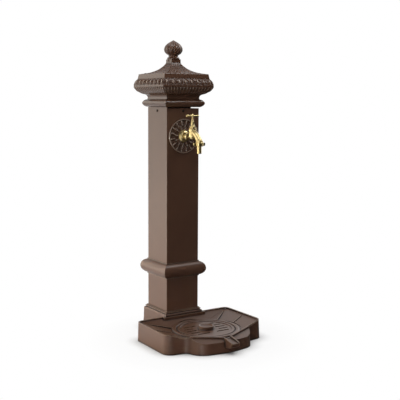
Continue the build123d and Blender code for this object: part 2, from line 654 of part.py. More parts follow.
def basin_plan(height, inset, rear_inset=0.0):
    """Outer outline of the basin: rounded ears, square front corners and a serpentine bow front."""
    rear_half = BASIN_REAR_HALF - inset
    front_half = BASIN_FRONT_HALF - inset
    ear_y = EAR_REAR - rear_inset
    bend = BASIN_REAR_ROUND * (1 - 2 ** -0.5)

    def point(x, y, side=1):
        return (side * (x - inset), y + inset, height)

    rear = [(x, y, height) for x, y in rear_points(rear_half - BASIN_REAR_ROUND, rear_inset)]
    edges = [Line(a, b) for a, b in zip(rear, rear[1:])]
    for side in (-1, 1):
        ear = (side * rear_half, ear_y - BASIN_REAR_ROUND, height)
        ear_top = (side * (rear_half - BASIN_REAR_ROUND), ear_y, height)
        ear_via = (side * (rear_half - bend), ear_y - bend, height)
        corner = (side * front_half, -232.0, height)
        edges += [
            ThreePointArc(ear_top, ear_via, ear),
            Line(ear, corner),
            ThreePointArc(corner, point(170.5, -251.5, side), point(153, -260, side)),
            Line(point(153, -260, side), point(126, -263, side)),
            ThreePointArc(point(126, -263, side), point(113.5, -270, side), point(107, -285, side)),
            ThreePointArc(point(107, -285, side), point(91, -307.5, side), point(62, -319.5, side)),
        ]
    edges.append(ThreePointArc(point(62, -319.5, -1), (0, -326.5 + inset, height), point(62, -319.5)))
    return make_face(edges)


def above_plane(a, b, c):
    """A large block that fills the space above the plane through three points."""
    a, b, c = Vector(*a), Vector(*b), Vector(*c)
    normal = (b - a).cross(c - a).normalized()
    if normal.Z < 0:
        normal = normal * -1
    plane = Plane(origin=a, x_dir=(b - a).normalized(), z_dir=normal)
    return plane * (Pos(0, 0, 250) * Box(1400, 1400, 500))


def front_slope():
    """Slope in plan of each half of the V line of the front rim."""
    return (CORNER_Y - VERTEX_Y) / CORNER_X


def front_region(inset, side):
    """The plan area of one half outside the V line of the front rim, as a tall prism."""
    slope = front_slope()
    tip = VERTEX_Y + inset * (1 + slope ** 2) ** 0.5
    far = 220.0
    area = Polyline([(0, tip), (side * far, tip + slope * far), (side * far, -420), (0, -420)], close=True)
    return extrude(make_face(area), 120)


def basin_bowl(drop):
    """The open space of the bowl, down to its sloping panels, lowered by drop."""
    edge = PANEL_EDGE_Z - drop
    ring = PANEL_FOOT_Z - drop
    rear = EAR_REAR - BASIN_WALL
    space = above_plane((-100, rear, edge), (100, rear, edge), (0, BOWL_Y + RECESS_R, ring))
    for side in (-1, 1):
        flank = (side * 169.0, -100, edge), (side * 171.0, -240, edge), (side * RECESS_R, BOWL_Y, ring)
        front = (side * 167.0, -250, edge), (0, VERTEX_Y + 5, ring - 1), (side * 84.0, -268, ring)
        space &= above_plane(*flank)
        space &= above_plane(*front)
    return space & block((-200, 200), (-360, 0), (0, 90))


def inner_walls(inset):
    """The plan inside the rim wall, as a tall prism: the rim polygon with its V front."""
    slope = front_slope()
    tip = VERTEX_Y + inset * (1 + slope ** 2) ** 0.5
    rear_half = BASIN_REAR_HALF - DRAFT - inset
    front_half = BASIN_FRONT_HALF - DRAFT - inset
    front = tip + slope * front_half
    points = rear_points(rear_half, inset) + [(front_half, front), (0, tip), (-front_half, front)]
    prism = extrude(make_face(Polyline(points, close=True)), 120)
    uprights = prism.edges().filter_by(Axis.Z)
    rear = uprights.filter_by(lambda e: abs((e @ 0).X) > 120 and (e @ 0).Y > -120)
    prism = fillet(rear, BASIN_REAR_ROUND - BASIN_WALL)
    corners = prism.edges().filter_by(Axis.Z).filter_by(lambda e: abs((e @ 0).X) > 120 and (e @ 0).Y < -200)
    return fillet(corners, 24)


def basin():
    """Basin casting: bow-fronted wall, raised rim, sloping panels and the drain well."""
    outer = loft([basin_plan(0, 0), basin_plan(BASIN_HEIGHT, DRAFT)], ruled=True)
    vertex = (0, VERTEX_Y, RIM_FRONT_Z)
    for side in (-1, 1):
        corner = (side * CORNER_X, CORNER_Y, BASIN_HEIGHT)
        level = (side * (CORNER_X + 100 * front_slope()), CORNER_Y - 100, BASIN_HEIGHT)
        outer -= above_plane(corner, vertex, level) & front_region(BASIN_WALL, side)
        bow_edge = (side * BOW_EDGE[0], BOW_EDGE[1], BOW_EDGE[2])
        low_corner = (corner[0], corner[1], BASIN_HEIGHT - RIM_STEP)
        low_vertex = (0, VERTEX_Y, RIM_FRONT_Z - RIM_STEP)
        outer -= above_plane(low_corner, low_vertex, bow_edge) & front_region(0, side)
    bowl = basin_bowl(0) & inner_walls(BASIN_WALL)
    recess = post(RECESS_R, RECESS_Z, 90, 0, BOWL_Y) & inner_walls(BASIN_WALL)
    body = outer - bowl - recess
    foot_line = post(FOOT_LINE_R + 1.5, RECESS_Z + 0.8, 90, 0, BOWL_Y)
    foot_line -= post(FOOT_LINE_R - 1.5, 0, 100, 0, BOWL_Y)
    body -= foot_line & inner_walls(BASIN_WALL + 2)
    for side in (-1, 1):
        for start, end in PANEL_JOINTS:
            body = panel_joint(body, side, start, end)
    hollow = loft([basin_plan(-1, BASIN_SKIN, BASIN_SKIN),
                   basin_plan(BASIN_HEIGHT, DRAFT + BASIN_SKIN, BASIN_SKIN)], ruled=True)
    hollow -= basin_bowl(BASIN_SKIN + 0.5)
    hollow -= post(RECESS_R + BASIN_SKIN, RECESS_Z - BASIN_SKIN, 90, 0, BOWL_Y)
    for side in (-1, 1):
        hollow -= front_region(-30, side) & block((-70, 70), (-400, -200), (24, 90))
        hollow -= front_region(BASIN_WALL + 4, side) & block((-180, 180), (-400, -200), (28, 90))
    hollow -= post(WELL_R + BASIN_SKIN, -2, 90, 0, BOWL_Y)
    body -= hollow
    body -= post(GRATE_R + 0.5, GRATE_SEAT, 60, 0, BOWL_Y)
    body -= post(WELL_R, WELL_FLOOR, 60, 0, BOWL_Y)
    body -= post(WELL_R, -1, WELL_FLOOR - BASIN_SKIN, 0, BOWL_Y)
    body -= post(WASTE_R + 0.5, -1, 30, 0, BOWL_Y)
    for x in (-PLINTH_SCREW_X, PLINTH_SCREW_X):
        body -= bar_y(4.2, BASIN_REAR - BASIN_SKIN - 1, BASIN_REAR + 1, x, BASIN_BOLT_Z)
    body += ring_moulding()
    throat = block((-TROUGH_HALF, TROUGH_HALF), (VERTEX_Y - 2, VERTEX_Y + 12), (43.5, 60))
    return body + overflow_lip() - throat


def ring_moulding():
    """Raised round moulding on the floor of the recess, round the grate."""
    foot, shoulder = RECESS_Z - 0.5, RING_TOP - 1.0
    return turned([(RING_INNER, foot), (RING_OUTER, foot), (RING_OUTER, shoulder - 1.6),
                   (RING_OUTER - 1.2, shoulder), (RING_OUTER - 3.4, RING_TOP), (RING_INNER + 3.4, RING_TOP),
                   (RING_INNER + 1.2, shoulder), (RING_INNER, shoulder - 1.6)], 0, BOWL_Y)


def panel_joint(body, side, start, end):
    """Cuts the line between two panels of the bowl along the slope, with a bead along its middle."""
    a = Vector(side * start[0], start[1], panel_height(start))
    b = Vector(side * end[0], end[1], panel_height(end))
    along = (b - a).normalized()
    plane = Plane(origin=(a + b) * 0.5, x_dir=along, z_dir=Vector(0, 0, 1) - along * along.Z)
    length = (b - a).length
    body -= plane * Box(length, JOINT_WIDTH, 2 * JOINT_DEPTH)
    root = JOINT_DEPTH + 1.0
    bead = Pos(0, 0, (BEAD_RISE - root) / 2) * Box(length + 1.0, BEAD_WIDTH, BEAD_RISE + root)
    return body + plane * bead


def panel_height(spot):
    """Height of the bowl's sloping panels at a plan point."""
    x, y = abs(spot[0]), spot[1]
    climb = PANEL_EDGE_Z - PANEL_FOOT_Z
    flank = PANEL_FOOT_Z + climb * (x - RECESS_R) / (169.0 - RECESS_R)
    foot_y = BOWL_Y + RECESS_R
    rear = PANEL_FOOT_Z + climb * (y - foot_y) / (EAR_REAR - BASIN_WALL - foot_y)
    return max(flank, rear, PANEL_FOOT_Z)


def overflow_lip():
    """Cast spout under the point of the front rim, which throws the overflow clear."""
    front = VERTEX_Y - LIP_REACH
    side_view = make_face(Polyline([(0, VERTEX_Y + 4, 46.5), (0, VERTEX_Y - 8, 46.0), (0, front + 3, 38.5),
                                    (0, front, 36.0), (0, front + 3, 25.0), (0, front + 8, 21.5),
                                    (0, VERTEX_Y - 1.0, 16.0), (0, VERTEX_Y + 3, 16.0)], close=True))
    lip = extrude(side_view, LIP_HALF, dir=(1, 0, 0), both=True)
    trough = make_face(Polyline([(0, VERTEX_Y + 12, 43.5), (0, front - 2, 35.2), (0, front - 2, 60),
                                 (0, VERTEX_Y + 12, 60)], close=True))
    return lip - extrude(trough, TROUGH_HALF, dir=(1, 0, 0), both=True)


def basin_bolts():
    """Two bolts that hold the basin against the plinth."""
    bolts = []
    for x in (-PLINTH_SCREW_X, PLINTH_SCREW_X):
        start = BASIN_REAR - 5.0
        bolt = bar_y(3.9, start, -61.5, x, BASIN_BOLT_Z)
        bolts.append(bolt + hexagon_y(13.0, start - 5.3, start, x, BASIN_BOLT_Z))
    return bolts


def drain_grate():
    """Round cast grate that lifts out: a raised rim, slots at the sides and a dished boss in the middle."""
    face = GRATE_TOP - 2.0
    inner = GRATE_R - GRATE_RIM
    body = turned([(0, GRATE_SEAT), (GRATE_R, GRATE_SEAT), (GRATE_R, GRATE_TOP - 1.0),
                   (GRATE_R - 1.0, GRATE_TOP), (inner + 1.0, GRATE_TOP), (inner, GRATE_TOP - 1.0),
                   (inner, face), (0, face)])
    for side in (-1, 1):
        for row in range(-2, 3):
            y = row * SLOT_PITCH
            start = GRATE_BOSS_R + 9.0 if abs(row) < 2 else 12.0
            end = (SLOT_REACH ** 2 - y ** 2) ** 0.5
            slot = SlotOverall(end - start, SLOT_WIDTH)
            body -= Pos(side * (start + end) / 2, y, 0) * extrude(slot, 90)
    lip = GRATE_BOSS_R - 3.5
    boss = turned([(0, face - 1.0), (GRATE_BOSS_R + 1.0, face - 1.0), (GRATE_BOSS_R, face + 2.0),
                   (GRATE_BOSS_R, GRATE_BOSS_TOP - 1.0), (GRATE_BOSS_R - 1.0, GRATE_BOSS_TOP),
                   (lip + 0.8, GRATE_BOSS_TOP), (lip - 3.0, GRATE_BOSS_TOP - 3.5),
                   (8.0, GRATE_BOSS_TOP - 5.0), (0, GRATE_BOSS_TOP - 5.0)])
    return Pos(0, BOWL_Y, 0) * (body + boss)


def waste_nut():
    """Ring nut under the well that holds the outlet."""
    ring = post(27.0, 3.0, 8.0, 0, BOWL_Y) - post(WASTE_R + 0.05, 0, 10, 0, BOWL_Y)
    for angle in range(0, 360, 60):
        ring -= Pos(0, BOWL_Y, 0) * Rot(0, 0, angle) * block((25.0, 30.0), (-3.0, 3.0), (2, 9))
    return ring


def waste_gasket():
    """Rubber ring between the well and the nut."""
    return post(27.0, 8.0, WELL_FLOOR - BASIN_SKIN, 0, BOWL_Y) - post(WASTE_R + 0.1, 0, 10, 0, BOWL_Y)


def drain_waste():
    """Flanged outlet in the floor of the well, for a 40 mm pipe."""
    outer = turned([(0, 1.0), (WASTE_R, 1.0), (WASTE_R, WELL_FLOOR), (28.0, WELL_FLOOR),
                    (28.0, WELL_FLOOR + 1.6), (26.5, WELL_FLOOR + 2.6), (0, WELL_FLOOR + 2.6)], 0, BOWL_Y)
    body = outer - post(WASTE_R - 2.5, 0, WELL_FLOOR - 1, 0, BOWL_Y)
    for index in range(6):
        angle = index * 60
        body -= Pos(0, BOWL_Y, 0) * Rot(0, 0, angle) * post(4.0, 0, 30, 11.0, 0)
    return body


PIECES = {
    "plinth": plinth,
    "plinth_screws": plinth_screws,
    "column": column,
    "mid_collar": mid_collar,
    "collar_grub_screws": collar_grub_screws,
    "cap": cap,
    "neck_set_screw": neck_set_screw,
    "top_bridge": top_bridge,
    "bridge_screws": bridge_screws,
    "tie_rod": tie_rod,
    "tie_rod_nuts": tie_rod_nuts,
    "finial": finial,
    "rosette": rosette,
    "wall_flange": wall_flange,
    "tap_body": tap_body,
    "tap_seal": tap_seal,
    "tap_lock_nut": tap_lock_nut,
    "bonnet_seal": bonnet_seal,
    "bonnet": bonnet,
    "gland_packing": gland_packing,
    "gland_nut": gland_nut,
    "spindle": spindle,
    "jumper_valve": jumper_valve,
    "valve_washer": valve_washer,
    "washer_nut": washer_nut,
    "tee_handle": tee_handle,
    "handle_nut": handle_nut,
    "union_washer": union_washer,
    "hose_tail": hose_tail,
    "wing_nut": wing_nut,
    "riser_pipe": riser_pipe,
    "upper_elbow": lambda: elbow(TAP_Z, False, -1),
    "lower_elbow": lambda: elbow(INLET_Z, True, 1),
    "inlet_nipple": inlet_nipple,
    "inlet_washer": inlet_washer,
    "inlet_lock_nut": inlet_lock_nut,
    "riser_clip": riser_clip,
    "riser_clip_screw": riser_clip_screw,
    "basin": basin,
    "basin_bolts": basin_bolts,
    "drain_grate": drain_grate,
    "drain_waste": drain_waste,
    "waste_gasket": waste_gasket,
    "waste_nut": waste_nut,
}

os.makedirs("parts", exist_ok=True)
for node, make in PIECES.items():
    made = make()
    shape = Compound(children=[Part(s.wrapped) for s in made]) if isinstance(made, list) else made
    export_step(shape, f"parts/{node}.step")
    print(node, "written")
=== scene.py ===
# %% [markdown]
# # A garden water fountain
#
# This lesson dresses a garden fountain for a picture. The engineering model gives a fixed
# frame: every casting, screw and seal is already where it belongs. What is missing is what
# the eye sees: paint, polished brass, ornament and light. Each step says what the real
# piece is, how it could be made in Blender, and why this way was taken.

import json
import math

import bmesh
import bpy
import numpy as np
from mathutils import Matrix, Vector


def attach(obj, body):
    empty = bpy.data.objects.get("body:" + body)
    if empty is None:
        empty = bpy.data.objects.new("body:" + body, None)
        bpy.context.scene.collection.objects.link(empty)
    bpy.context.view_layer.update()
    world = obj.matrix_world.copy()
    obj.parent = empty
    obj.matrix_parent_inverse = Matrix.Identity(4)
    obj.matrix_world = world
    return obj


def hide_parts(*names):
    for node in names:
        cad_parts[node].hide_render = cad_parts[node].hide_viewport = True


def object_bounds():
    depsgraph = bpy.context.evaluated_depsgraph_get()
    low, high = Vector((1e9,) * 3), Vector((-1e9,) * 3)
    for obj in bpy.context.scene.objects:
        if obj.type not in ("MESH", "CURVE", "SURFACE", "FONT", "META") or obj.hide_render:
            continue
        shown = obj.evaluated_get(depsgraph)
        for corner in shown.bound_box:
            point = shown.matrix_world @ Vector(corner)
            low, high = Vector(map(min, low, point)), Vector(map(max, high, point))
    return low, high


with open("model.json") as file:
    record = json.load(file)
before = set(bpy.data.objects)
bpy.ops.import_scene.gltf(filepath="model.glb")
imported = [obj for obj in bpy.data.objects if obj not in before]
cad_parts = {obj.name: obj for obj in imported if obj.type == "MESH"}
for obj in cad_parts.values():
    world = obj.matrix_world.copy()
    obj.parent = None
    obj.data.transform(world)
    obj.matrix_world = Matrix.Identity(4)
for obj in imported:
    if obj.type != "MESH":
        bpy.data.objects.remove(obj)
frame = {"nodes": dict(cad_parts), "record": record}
cad_low, cad_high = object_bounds()
MM = 0.001
bpy.context.scene.view_settings.view_transform = "Standard"
print("frame box, in metres:", tuple(cad_low), tuple(cad_high))

# %% [markdown]
# ## Shader maths in plain Python
#
# A finish is a small sum: a base colour, plus a little noise, less what the painted shade takes
# away.
# Such sums could be wired node by node, but they read badly. Here one small class wraps a
# socket, so that `1 - mask * 0.4` adds the Math nodes by itself. Everything that isn't
# arithmetic comes from one method, `node`.

# %% A socket that does arithmetic
class Tone:
    """A socket of a node tree. Python's operators add Math nodes, from either side of it."""

    def __init__(self, finish, socket):
        self.finish = finish
        self.socket = socket

    def maths(self, operation, first, second, clamp=False):
        settings = {"operation": operation, "use_clamp": clamp}
        return self.finish.node("ShaderNodeMath", settings, {0: first, 1: second})

    def __add__(self, other):
        return self.maths("ADD", self, other)

    def __radd__(self, other):
        return self.maths("ADD", other, self)

    def __sub__(self, other):
        return self.maths("SUBTRACT", self, other)

    def __rsub__(self, other):
        return self.maths("SUBTRACT", other, self)

    def __mul__(self, other):
        return self.maths("MULTIPLY", self, other)

    def __rmul__(self, other):
        return self.maths("MULTIPLY", other, self)

    def __truediv__(self, other):
        return self.maths("DIVIDE", self, other)

    def __rtruediv__(self, other):
        return self.maths("DIVIDE", other, self)

    def clipped(self):
        """The same value, kept between 0 and 1."""
        return self.maths("ADD", self, 0.0, clamp=True)


print("a tone can be added, subtracted, multiplied, divided and clipped")


# %% A finish under construction
class Finish:
    """A material, or the world, with one method that adds any node."""

    # The Mix node has a set of sockets for each kind of data. These are the colour ones.
    MIX_AMOUNT, MIX_LOW, MIX_HIGH, MIX_RESULT = 0, 6, 7, 2

    def __init__(self, owner):
        owner.use_nodes = True
        self.owner = owner
        self.tree = owner.node_tree
        self.tree.nodes.clear()

    def node(self, kind, settings=None, inputs=None, output=0):
        """Add a node. Each input is a plain value, or the tone that feeds it."""
        made = self.tree.nodes.new(kind)
        for name, value in (settings or {}).items():
            setattr(made, name, value)
        for name, value in (inputs or {}).items():
            if isinstance(value, Tone):
                self.tree.links.new(value.socket, made.inputs[name])
            else:
                made.inputs[name].default_value = value
        return Tone(self, made.outputs[output]) if made.outputs else None

    def noise(self, size, detail, stretch=None):
        """Noise from 0 to 1 whose lumps are about `size` metres across, on the piece itself."""
        place = self.node("ShaderNodeTexCoord", output="Object")
        if stretch:
            place = self.node("ShaderNodeMapping", {}, {"Vector": place, "Scale": stretch})
        inputs = {"Vector": place, "Scale": 1 / size, "Detail": detail}
        return self.node("ShaderNodeTexNoise", {}, inputs, "Fac")

    def blend(self, amount, low, high):
        """A colour between low and high."""
        inputs = {self.MIX_AMOUNT: amount, self.MIX_LOW: low, self.MIX_HIGH: high}
        return self.node("ShaderNodeMix", {"data_type": "RGBA"}, inputs, self.MIX_RESULT)

    def bump(self, height, depth):
        """A normal from a height of 0 to 1, `depth` metres deep."""
        return self.node("ShaderNodeBump", {}, {"Height": height, "Distance": depth})

    def close(self, inputs):
        """The surface itself, and the way out."""
        shader = self.node("ShaderNodeBsdfPrincipled", {}, inputs)
        self.node("ShaderNodeOutputMaterial", {}, {"Surface": shader})
        return self.owner


def new_finish(name):
    return Finish(bpy.data.materials.new(name))


print("a finish can add a node, noise, a blend and a bump")

# %% [markdown]
# ## The brown paint
#
# The castings and the column wear one satin brown paint. It is one colour from afar, but
# close up it has a fine orange-peel skin, and it is a little thicker and glossier in some
# places than in others. An image of paint could be wrapped round each piece, but it would
# need seams. Noise in the piece's own coordinates needs none and is as sharp at any size.

# %% The colours of the paint
PAINT_DARK = (0.108, 0.052, 0.031, 1)
PAINT_LIGHT = (0.138, 0.068, 0.041, 1)
# The darkest colour is painted shade; the three lightest are painted highlights.
PAINT_SHADE = (0.022, 0.011, 0.007, 1)
PAINT_HIGHLIGHT = (0.270, 0.185, 0.135, 1)
EGG_HIGHLIGHT = (0.400, 0.305, 0.240, 1)
ROSETTE_HIGHLIGHT = (0.560, 0.470, 0.400, 1)
print("the paint lies between", PAINT_DARK[:3], "and", PAINT_LIGHT[:3])

# %% [markdown]
# ## Painted light and shade on the ornament
#
# The bottoms of the ornament are painted darker and duller: painted shade. The crests are
# painted lighter: painted highlights, brightest on the leaves of the rosette. Pointiness,
# which Blender works out for each point of a mesh, could find the crests, but it sees every
# small edge alike. The height maps below know how far up the relief a point is. They store
# it on the mesh as an attribute, the lift, which the paint reads: a high lift gets a painted
# highlight, a low one painted shade. Pointiness only adds more painted shade in the grooves.

# %% Paint on ornament
LIFT = "lift"
CREST_START, CREST_SLOPE = 0.58, 3.0
GROUND_START, GROUND_SLOPE = 0.16, 5.0
GROOVE_START, GROOVE_SLOPE = 0.485, 7.0
BOTTOM_SHARE, BOTTOM_DULLNESS = 0.52, 0.35


def paint_ornament_light_and_shade(paint, colour, rough, highlight_share, highlight_colour):
    """Colour and roughness with painted highlights on the crests and dull painted shade in the
    bottoms.
    """
    point = paint.node("ShaderNodeNewGeometry", output="Pointiness")
    lift = paint.node("ShaderNodeAttribute", {"attribute_name": LIFT}, output="Fac")
    # The crest mask paints highlights, and the bottom mask paints shade.
    crest = ((lift - CREST_START) * CREST_SLOPE).clipped() * highlight_share
    groove = (GROOVE_START - point) * GROOVE_SLOPE
    ground = (GROUND_START - lift) * GROUND_SLOPE
    bottom = (groove + ground).clipped() * BOTTOM_SHARE
    colour = paint.blend(crest, colour, highlight_colour)
    colour = paint.blend(bottom, colour, PAINT_SHADE)
    return colour, rough + bottom * BOTTOM_DULLNESS


print("crests start at a lift of", CREST_START, "and bottoms at", GROUND_START)

# %% [markdown]
# ## Painted light and shade on the plain castings
#
# The corners of the plain castings get painted shade, and their edges painted highlights.
# Painting both by hand would have to be done again after each change of shape. A
# short-range ambient occlusion finds the places by itself: looking out from the surface it
# finds the corners, and looking into the metal it finds the edges.

# %% Paint on plain castings
CORNER_SHADE_REACH, CORNER_SHADE_START, CORNER_SHADE_SLOPE, CORNER_SHADE_DULLNESS = 0.009, 0.93, 3.2, 0.12
EDGE_HIGHLIGHT_REACH, EDGE_HIGHLIGHT_START, EDGE_HIGHLIGHT_SLOPE, EDGE_HIGHLIGHT_GRAIN = 0.0025, 0.6, 3.0, 0.3


def paint_casting_light_and_shade(paint, colour, rough, sand):
    """Colour and roughness with painted highlights on the edges and painted shade in the corners.
    """
    look_out = {"samples": 8}
    look_in = {"samples": 8, "inside": True}
    near, nearer = {"Distance": CORNER_SHADE_REACH}, {"Distance": EDGE_HIGHLIGHT_REACH}
    open_air = paint.node("ShaderNodeAmbientOcclusion", look_out, near, "AO")
    thickness = paint.node("ShaderNodeAmbientOcclusion", look_in, nearer, "AO")
    # Corners that ambient occlusion finds get painted shade, and edges get painted highlights.
    corner_shade = ((CORNER_SHADE_START - open_air) * CORNER_SHADE_SLOPE).clipped()
    edge_highlight = ((1 - thickness) * EDGE_HIGHLIGHT_SLOPE - EDGE_HIGHLIGHT_START + sand * EDGE_HIGHLIGHT_GRAIN).clipped()
    colour = paint.blend(edge_highlight, colour, PAINT_HIGHLIGHT)
    colour = paint.blend(corner_shade, colour, PAINT_SHADE)
    return colour, rough + corner_shade * CORNER_SHADE_DULLNESS


print("dirt reaches", CORNER_SHADE_REACH, "m into a corner and wear", EDGE_HIGHLIGHT_REACH, "m round an edge")

# %% [markdown]
# ## Five coats of one paint
# The column is smooth tube and only gets the paint's own skin. The plain castings show the
# sand they were cast in, with painted highlights on their edges and painted shade in their
# corners. The ornamented ones have the fine relief, so they get next to no bump of their
# own, and more gloss. The knop and the finial get the least painted highlight.

# %% Brown paint
CLOUD_SIZE, SAND_SIZE, PEEL_SIZE = 0.060, 0.0060, 0.0016
CLOUD_DULLNESS, SAND_DULLNESS = 0.06, 0.04


def brown_paint(name, skin, lump, dullness, painted_edges_and_corners=False, highlight_share=0.0, highlight_colour=PAINT_HIGHLIGHT):
    """Satin paint; skin and lump are the depths in metres of its fine and coarse unevenness."""
    paint = new_finish(name)
    cloud = paint.noise(CLOUD_SIZE, detail=3.0)
    peel = paint.noise(PEEL_SIZE, detail=1.0)
    sand = paint.noise(SAND_SIZE, detail=2.0)
    colour = paint.blend(cloud, PAINT_DARK, PAINT_LIGHT)
    rough = dullness + cloud * CLOUD_DULLNESS + sand * SAND_DULLNESS
    # Painted highlights on the crests and painted shade in the bottoms of the ornament.
    if highlight_share:
        colour, rough = paint_ornament_light_and_shade(paint, colour, rough, highlight_share, highlight_colour)
    # Plain castings get painted highlights on their edges and painted shade in their corners.
    if painted_edges_and_corners:
        colour, rough = paint_casting_light_and_shade(paint, colour, rough, sand)
    height = peel * skin / (skin + lump) + sand * lump / (skin + lump)
    normal = paint.bump(height, skin + lump)
    return paint.close({"Base Color": colour, "Roughness": rough, "Normal": normal})


smooth_paint = brown_paint("paint_smooth", 0.00003, 0.00003, 0.30)
cast_paint = brown_paint("paint_cast", 0.00005, 0.00016, 0.30, painted_edges_and_corners=True)
# The ornament paints get bright painted highlights; the glossy one only a faint one.
relief_paint = brown_paint("paint_ornament", 0.000003, 0.000008, 0.16, highlight_share=0.95,
                           highlight_colour=EGG_HIGHLIGHT)
rosette_paint = brown_paint("paint_rosette", 0.000003, 0.000008, 0.16, highlight_share=0.75,
                            highlight_colour=ROSETTE_HIGHLIGHT)
glossy_paint = brown_paint("paint_glossy", 0.000002, 0.000005, 0.17, highlight_share=0.15)
for coat in (smooth_paint, cast_paint, relief_paint, rosette_paint, glossy_paint):
    print(coat.name, "has", len(coat.node_tree.nodes), "nodes")

# %% [markdown]
# ## Metals, rubber and the rest
#
# Polished brass is a metal with a yellow reflection. A single number for roughness looks
# like plastic plating, so faint polishing marks and a little warm tarnish change it over
# the surface. The marks are noise squeezed to a sixth along Z. Machined brass and the
# steel inside the column are duller, and rubber, fibre and plastic have a fine grain.

# %% Metals
TARNISH_SIZE = 0.012
MARK_SHAPE, MARK_SHARE = (1, 1, 6), 0.5


def metal(name, low, high, gloss, spread, mark_size, mark_depth):
    """A metal between two colours, with its roughness and its marks."""
    finish = new_finish(name)
    cloud = finish.noise(TARNISH_SIZE, detail=4.0)
    marks = finish.noise(mark_size, detail=3.0, stretch=MARK_SHAPE)
    colour = finish.blend(cloud, low, high)
    rough = gloss + cloud * spread + marks * spread * MARK_SHARE
    normal = finish.bump(marks, mark_depth)
    inputs = {"Base Color": colour, "Metallic": 1.0, "Roughness": rough, "Normal": normal}
    return finish.close(inputs)


polished_brass = metal("brass_polished", (0.58, 0.44, 0.19, 1), (0.70, 0.57, 0.29, 1),
                       0.24, 0.06, 0.0015, 0.0000008)
machined_brass = metal("brass_machined", (0.60, 0.42, 0.17, 1), (0.74, 0.55, 0.27, 1),
                       0.26, 0.16, 0.0010, 0.00002)
plated_steel = metal("steel_plated", (0.36, 0.35, 0.33, 1), (0.52, 0.51, 0.49, 1),
                     0.30, 0.20, 0.0012, 0.00002)
black_steel = metal("steel_blackened", (0.035, 0.026, 0.022, 1), (0.065, 0.05, 0.042, 1),
                    0.32, 0.20, 0.0012, 0.00002)
print("metals:", polished_brass.name, machined_brass.name, plated_steel.name, black_steel.name)


# %% Rubber, fibre and moulded plastic
STAIN_SIZE = 0.010
GRAIN_DULLNESS = 0.15


def soft_stuff(name, low, high, rough, grain, depth):
    """A dull material with a fine grain."""
    finish = new_finish(name)
    cloud = finish.noise(STAIN_SIZE, detail=3.0)
    fine = finish.noise(grain, detail=2.0)
    inputs = {
        "Base Color": finish.blend(cloud, low, high),
        "Roughness": rough + fine * GRAIN_DULLNESS,
        "Normal": finish.bump(fine, depth),
    }
    return finish.close(inputs)


black_rubber = soft_stuff("rubber_black", (0.018, 0.018, 0.018, 1), (0.03, 0.03, 0.03, 1),
                          0.62, 0.0010, 0.00003)
red_fibre = soft_stuff("fibre_red", (0.30, 0.05, 0.03, 1), (0.42, 0.09, 0.05, 1),
                       0.70, 0.0006, 0.00004)
dark_plastic = soft_stuff("plastic_moulded", (0.05, 0.05, 0.05, 1), (0.08, 0.08, 0.08, 1),
                          0.45, 0.0008, 0.00002)
print("dull materials:", black_rubber.name, red_fibre.name, dark_plastic.name)

# %% [markdown]
# ## A finish for every node of the frame
#
# The frame's record says which material slot each of the 44 nodes is made of. A finish
# could be given to each node by name, but then a renamed node would stay bare. One finish
# for each slot dresses them all, also the seals and nuts that no picture shows.

# %% Give every node its finish
SLOT_FINISH = {
    "casting": cast_paint,
    "column_paint": smooth_paint,
    "plated_steel": plated_steel,
    "blackened_steel": black_steel,
    "polished_brass": polished_brass,
    "raw_brass": machined_brass,
    "rubber": black_rubber,
    "fibre": red_fibre,
    "waste_plastic": dark_plastic,
}
slot_of = {part["node"]: part["material_slot"] for part in frame["record"]["subparts"]}
for node, piece in frame["nodes"].items():
    piece.data.materials.clear()
    piece.data.materials.append(SLOT_FINISH[slot_of[node]])
print("nodes dressed:", len(frame["nodes"]))

# %% [markdown]
# ## Relief as real geometry
#
# The ornament on the castings is a few millimetres deep and catches light of its own, so
# bump alone would look painted on. Sculpting every leaf by hand would be slow, and hard to
# keep regular. Here each ornamented casting is a fine grid of points that is pushed out by
# a height map, and the map is a sum of small shapes: domes, ridges and leaves.

# %% Small shapes for height maps
TIP_PLACE, TIP_LENGTH, TIP_HEIGHT = 0.84, 0.11, 0.38
RIB_HEIGHT, RIB_WIDTH = 0.50, 0.17


def dome(across, along):
    """Half a ball of height 1 over a unit circle."""
    return np.sqrt(np.clip(1 - across ** 2 - along ** 2, 0, 1))


def ridge(distance, half_width):
    """A rounded ridge of height 1 along distance 0."""
    return np.clip(1 - (distance / half_width) ** 2, 0, 1)


def fade(value, start, end):
    """0 before start, 1 after end, with a smooth step between."""
    part = np.clip((value - start) / (end - start), 0, 1)
    return part * part * (3 - 2 * part)


def leaf(across, along, half_width, lobes):
    """A pointed leaf with midrib, veins and curled tip; along is 0 at its foot, 1 at its tip."""
    y = np.clip(along, 0, 1)
    width = half_width * np.sqrt(np.clip(0.25 + y * 3, 0, 1)) * (1 - y ** 2.6)
    cuts = np.abs(np.sin(math.pi * lobes * y))
    edge = np.maximum(width * (0.74 + 0.26 * cuts), 0.01)
    side = np.abs(across) / edge
    veins = 0.5 + 0.5 * np.cos(2 * math.pi * lobes * (y - 0.30 * side))
    blade = np.clip(1 - side ** 4, 0, 1) * (0.40 + 0.28 * side + 0.16 * veins)
    rib = RIB_HEIGHT * ridge(across, RIB_WIDTH * half_width)
    tip = TIP_HEIGHT * np.exp(-((y - TIP_PLACE) / TIP_LENGTH) ** 2)
    on_leaf = (along > 0) & (along < 1) & (side < 1)
    return np.where(on_leaf, blade + rib + tip, 0)


print("a leaf is", round(float(leaf(0.0, TIP_PLACE, 1.0, 3)), 2), "high at its curled tip")

# %% [markdown]
# ## From numbers to a piece
#
# A mesh could be built by hand in edit mode, but a height map needs a hundred thousand
# points in the right order. Here they come as rings: one row of the grid is one ring
# round the piece. Neighbours in the grid become faces, all normals turn outwards, and
# only true corners stay sharp. Each piece then rides on a body of the frame, wears a
# finish, and hides the plain node it stands for.

# %% From a mesh to a piece
SHARP_CORNER = math.radians(40)


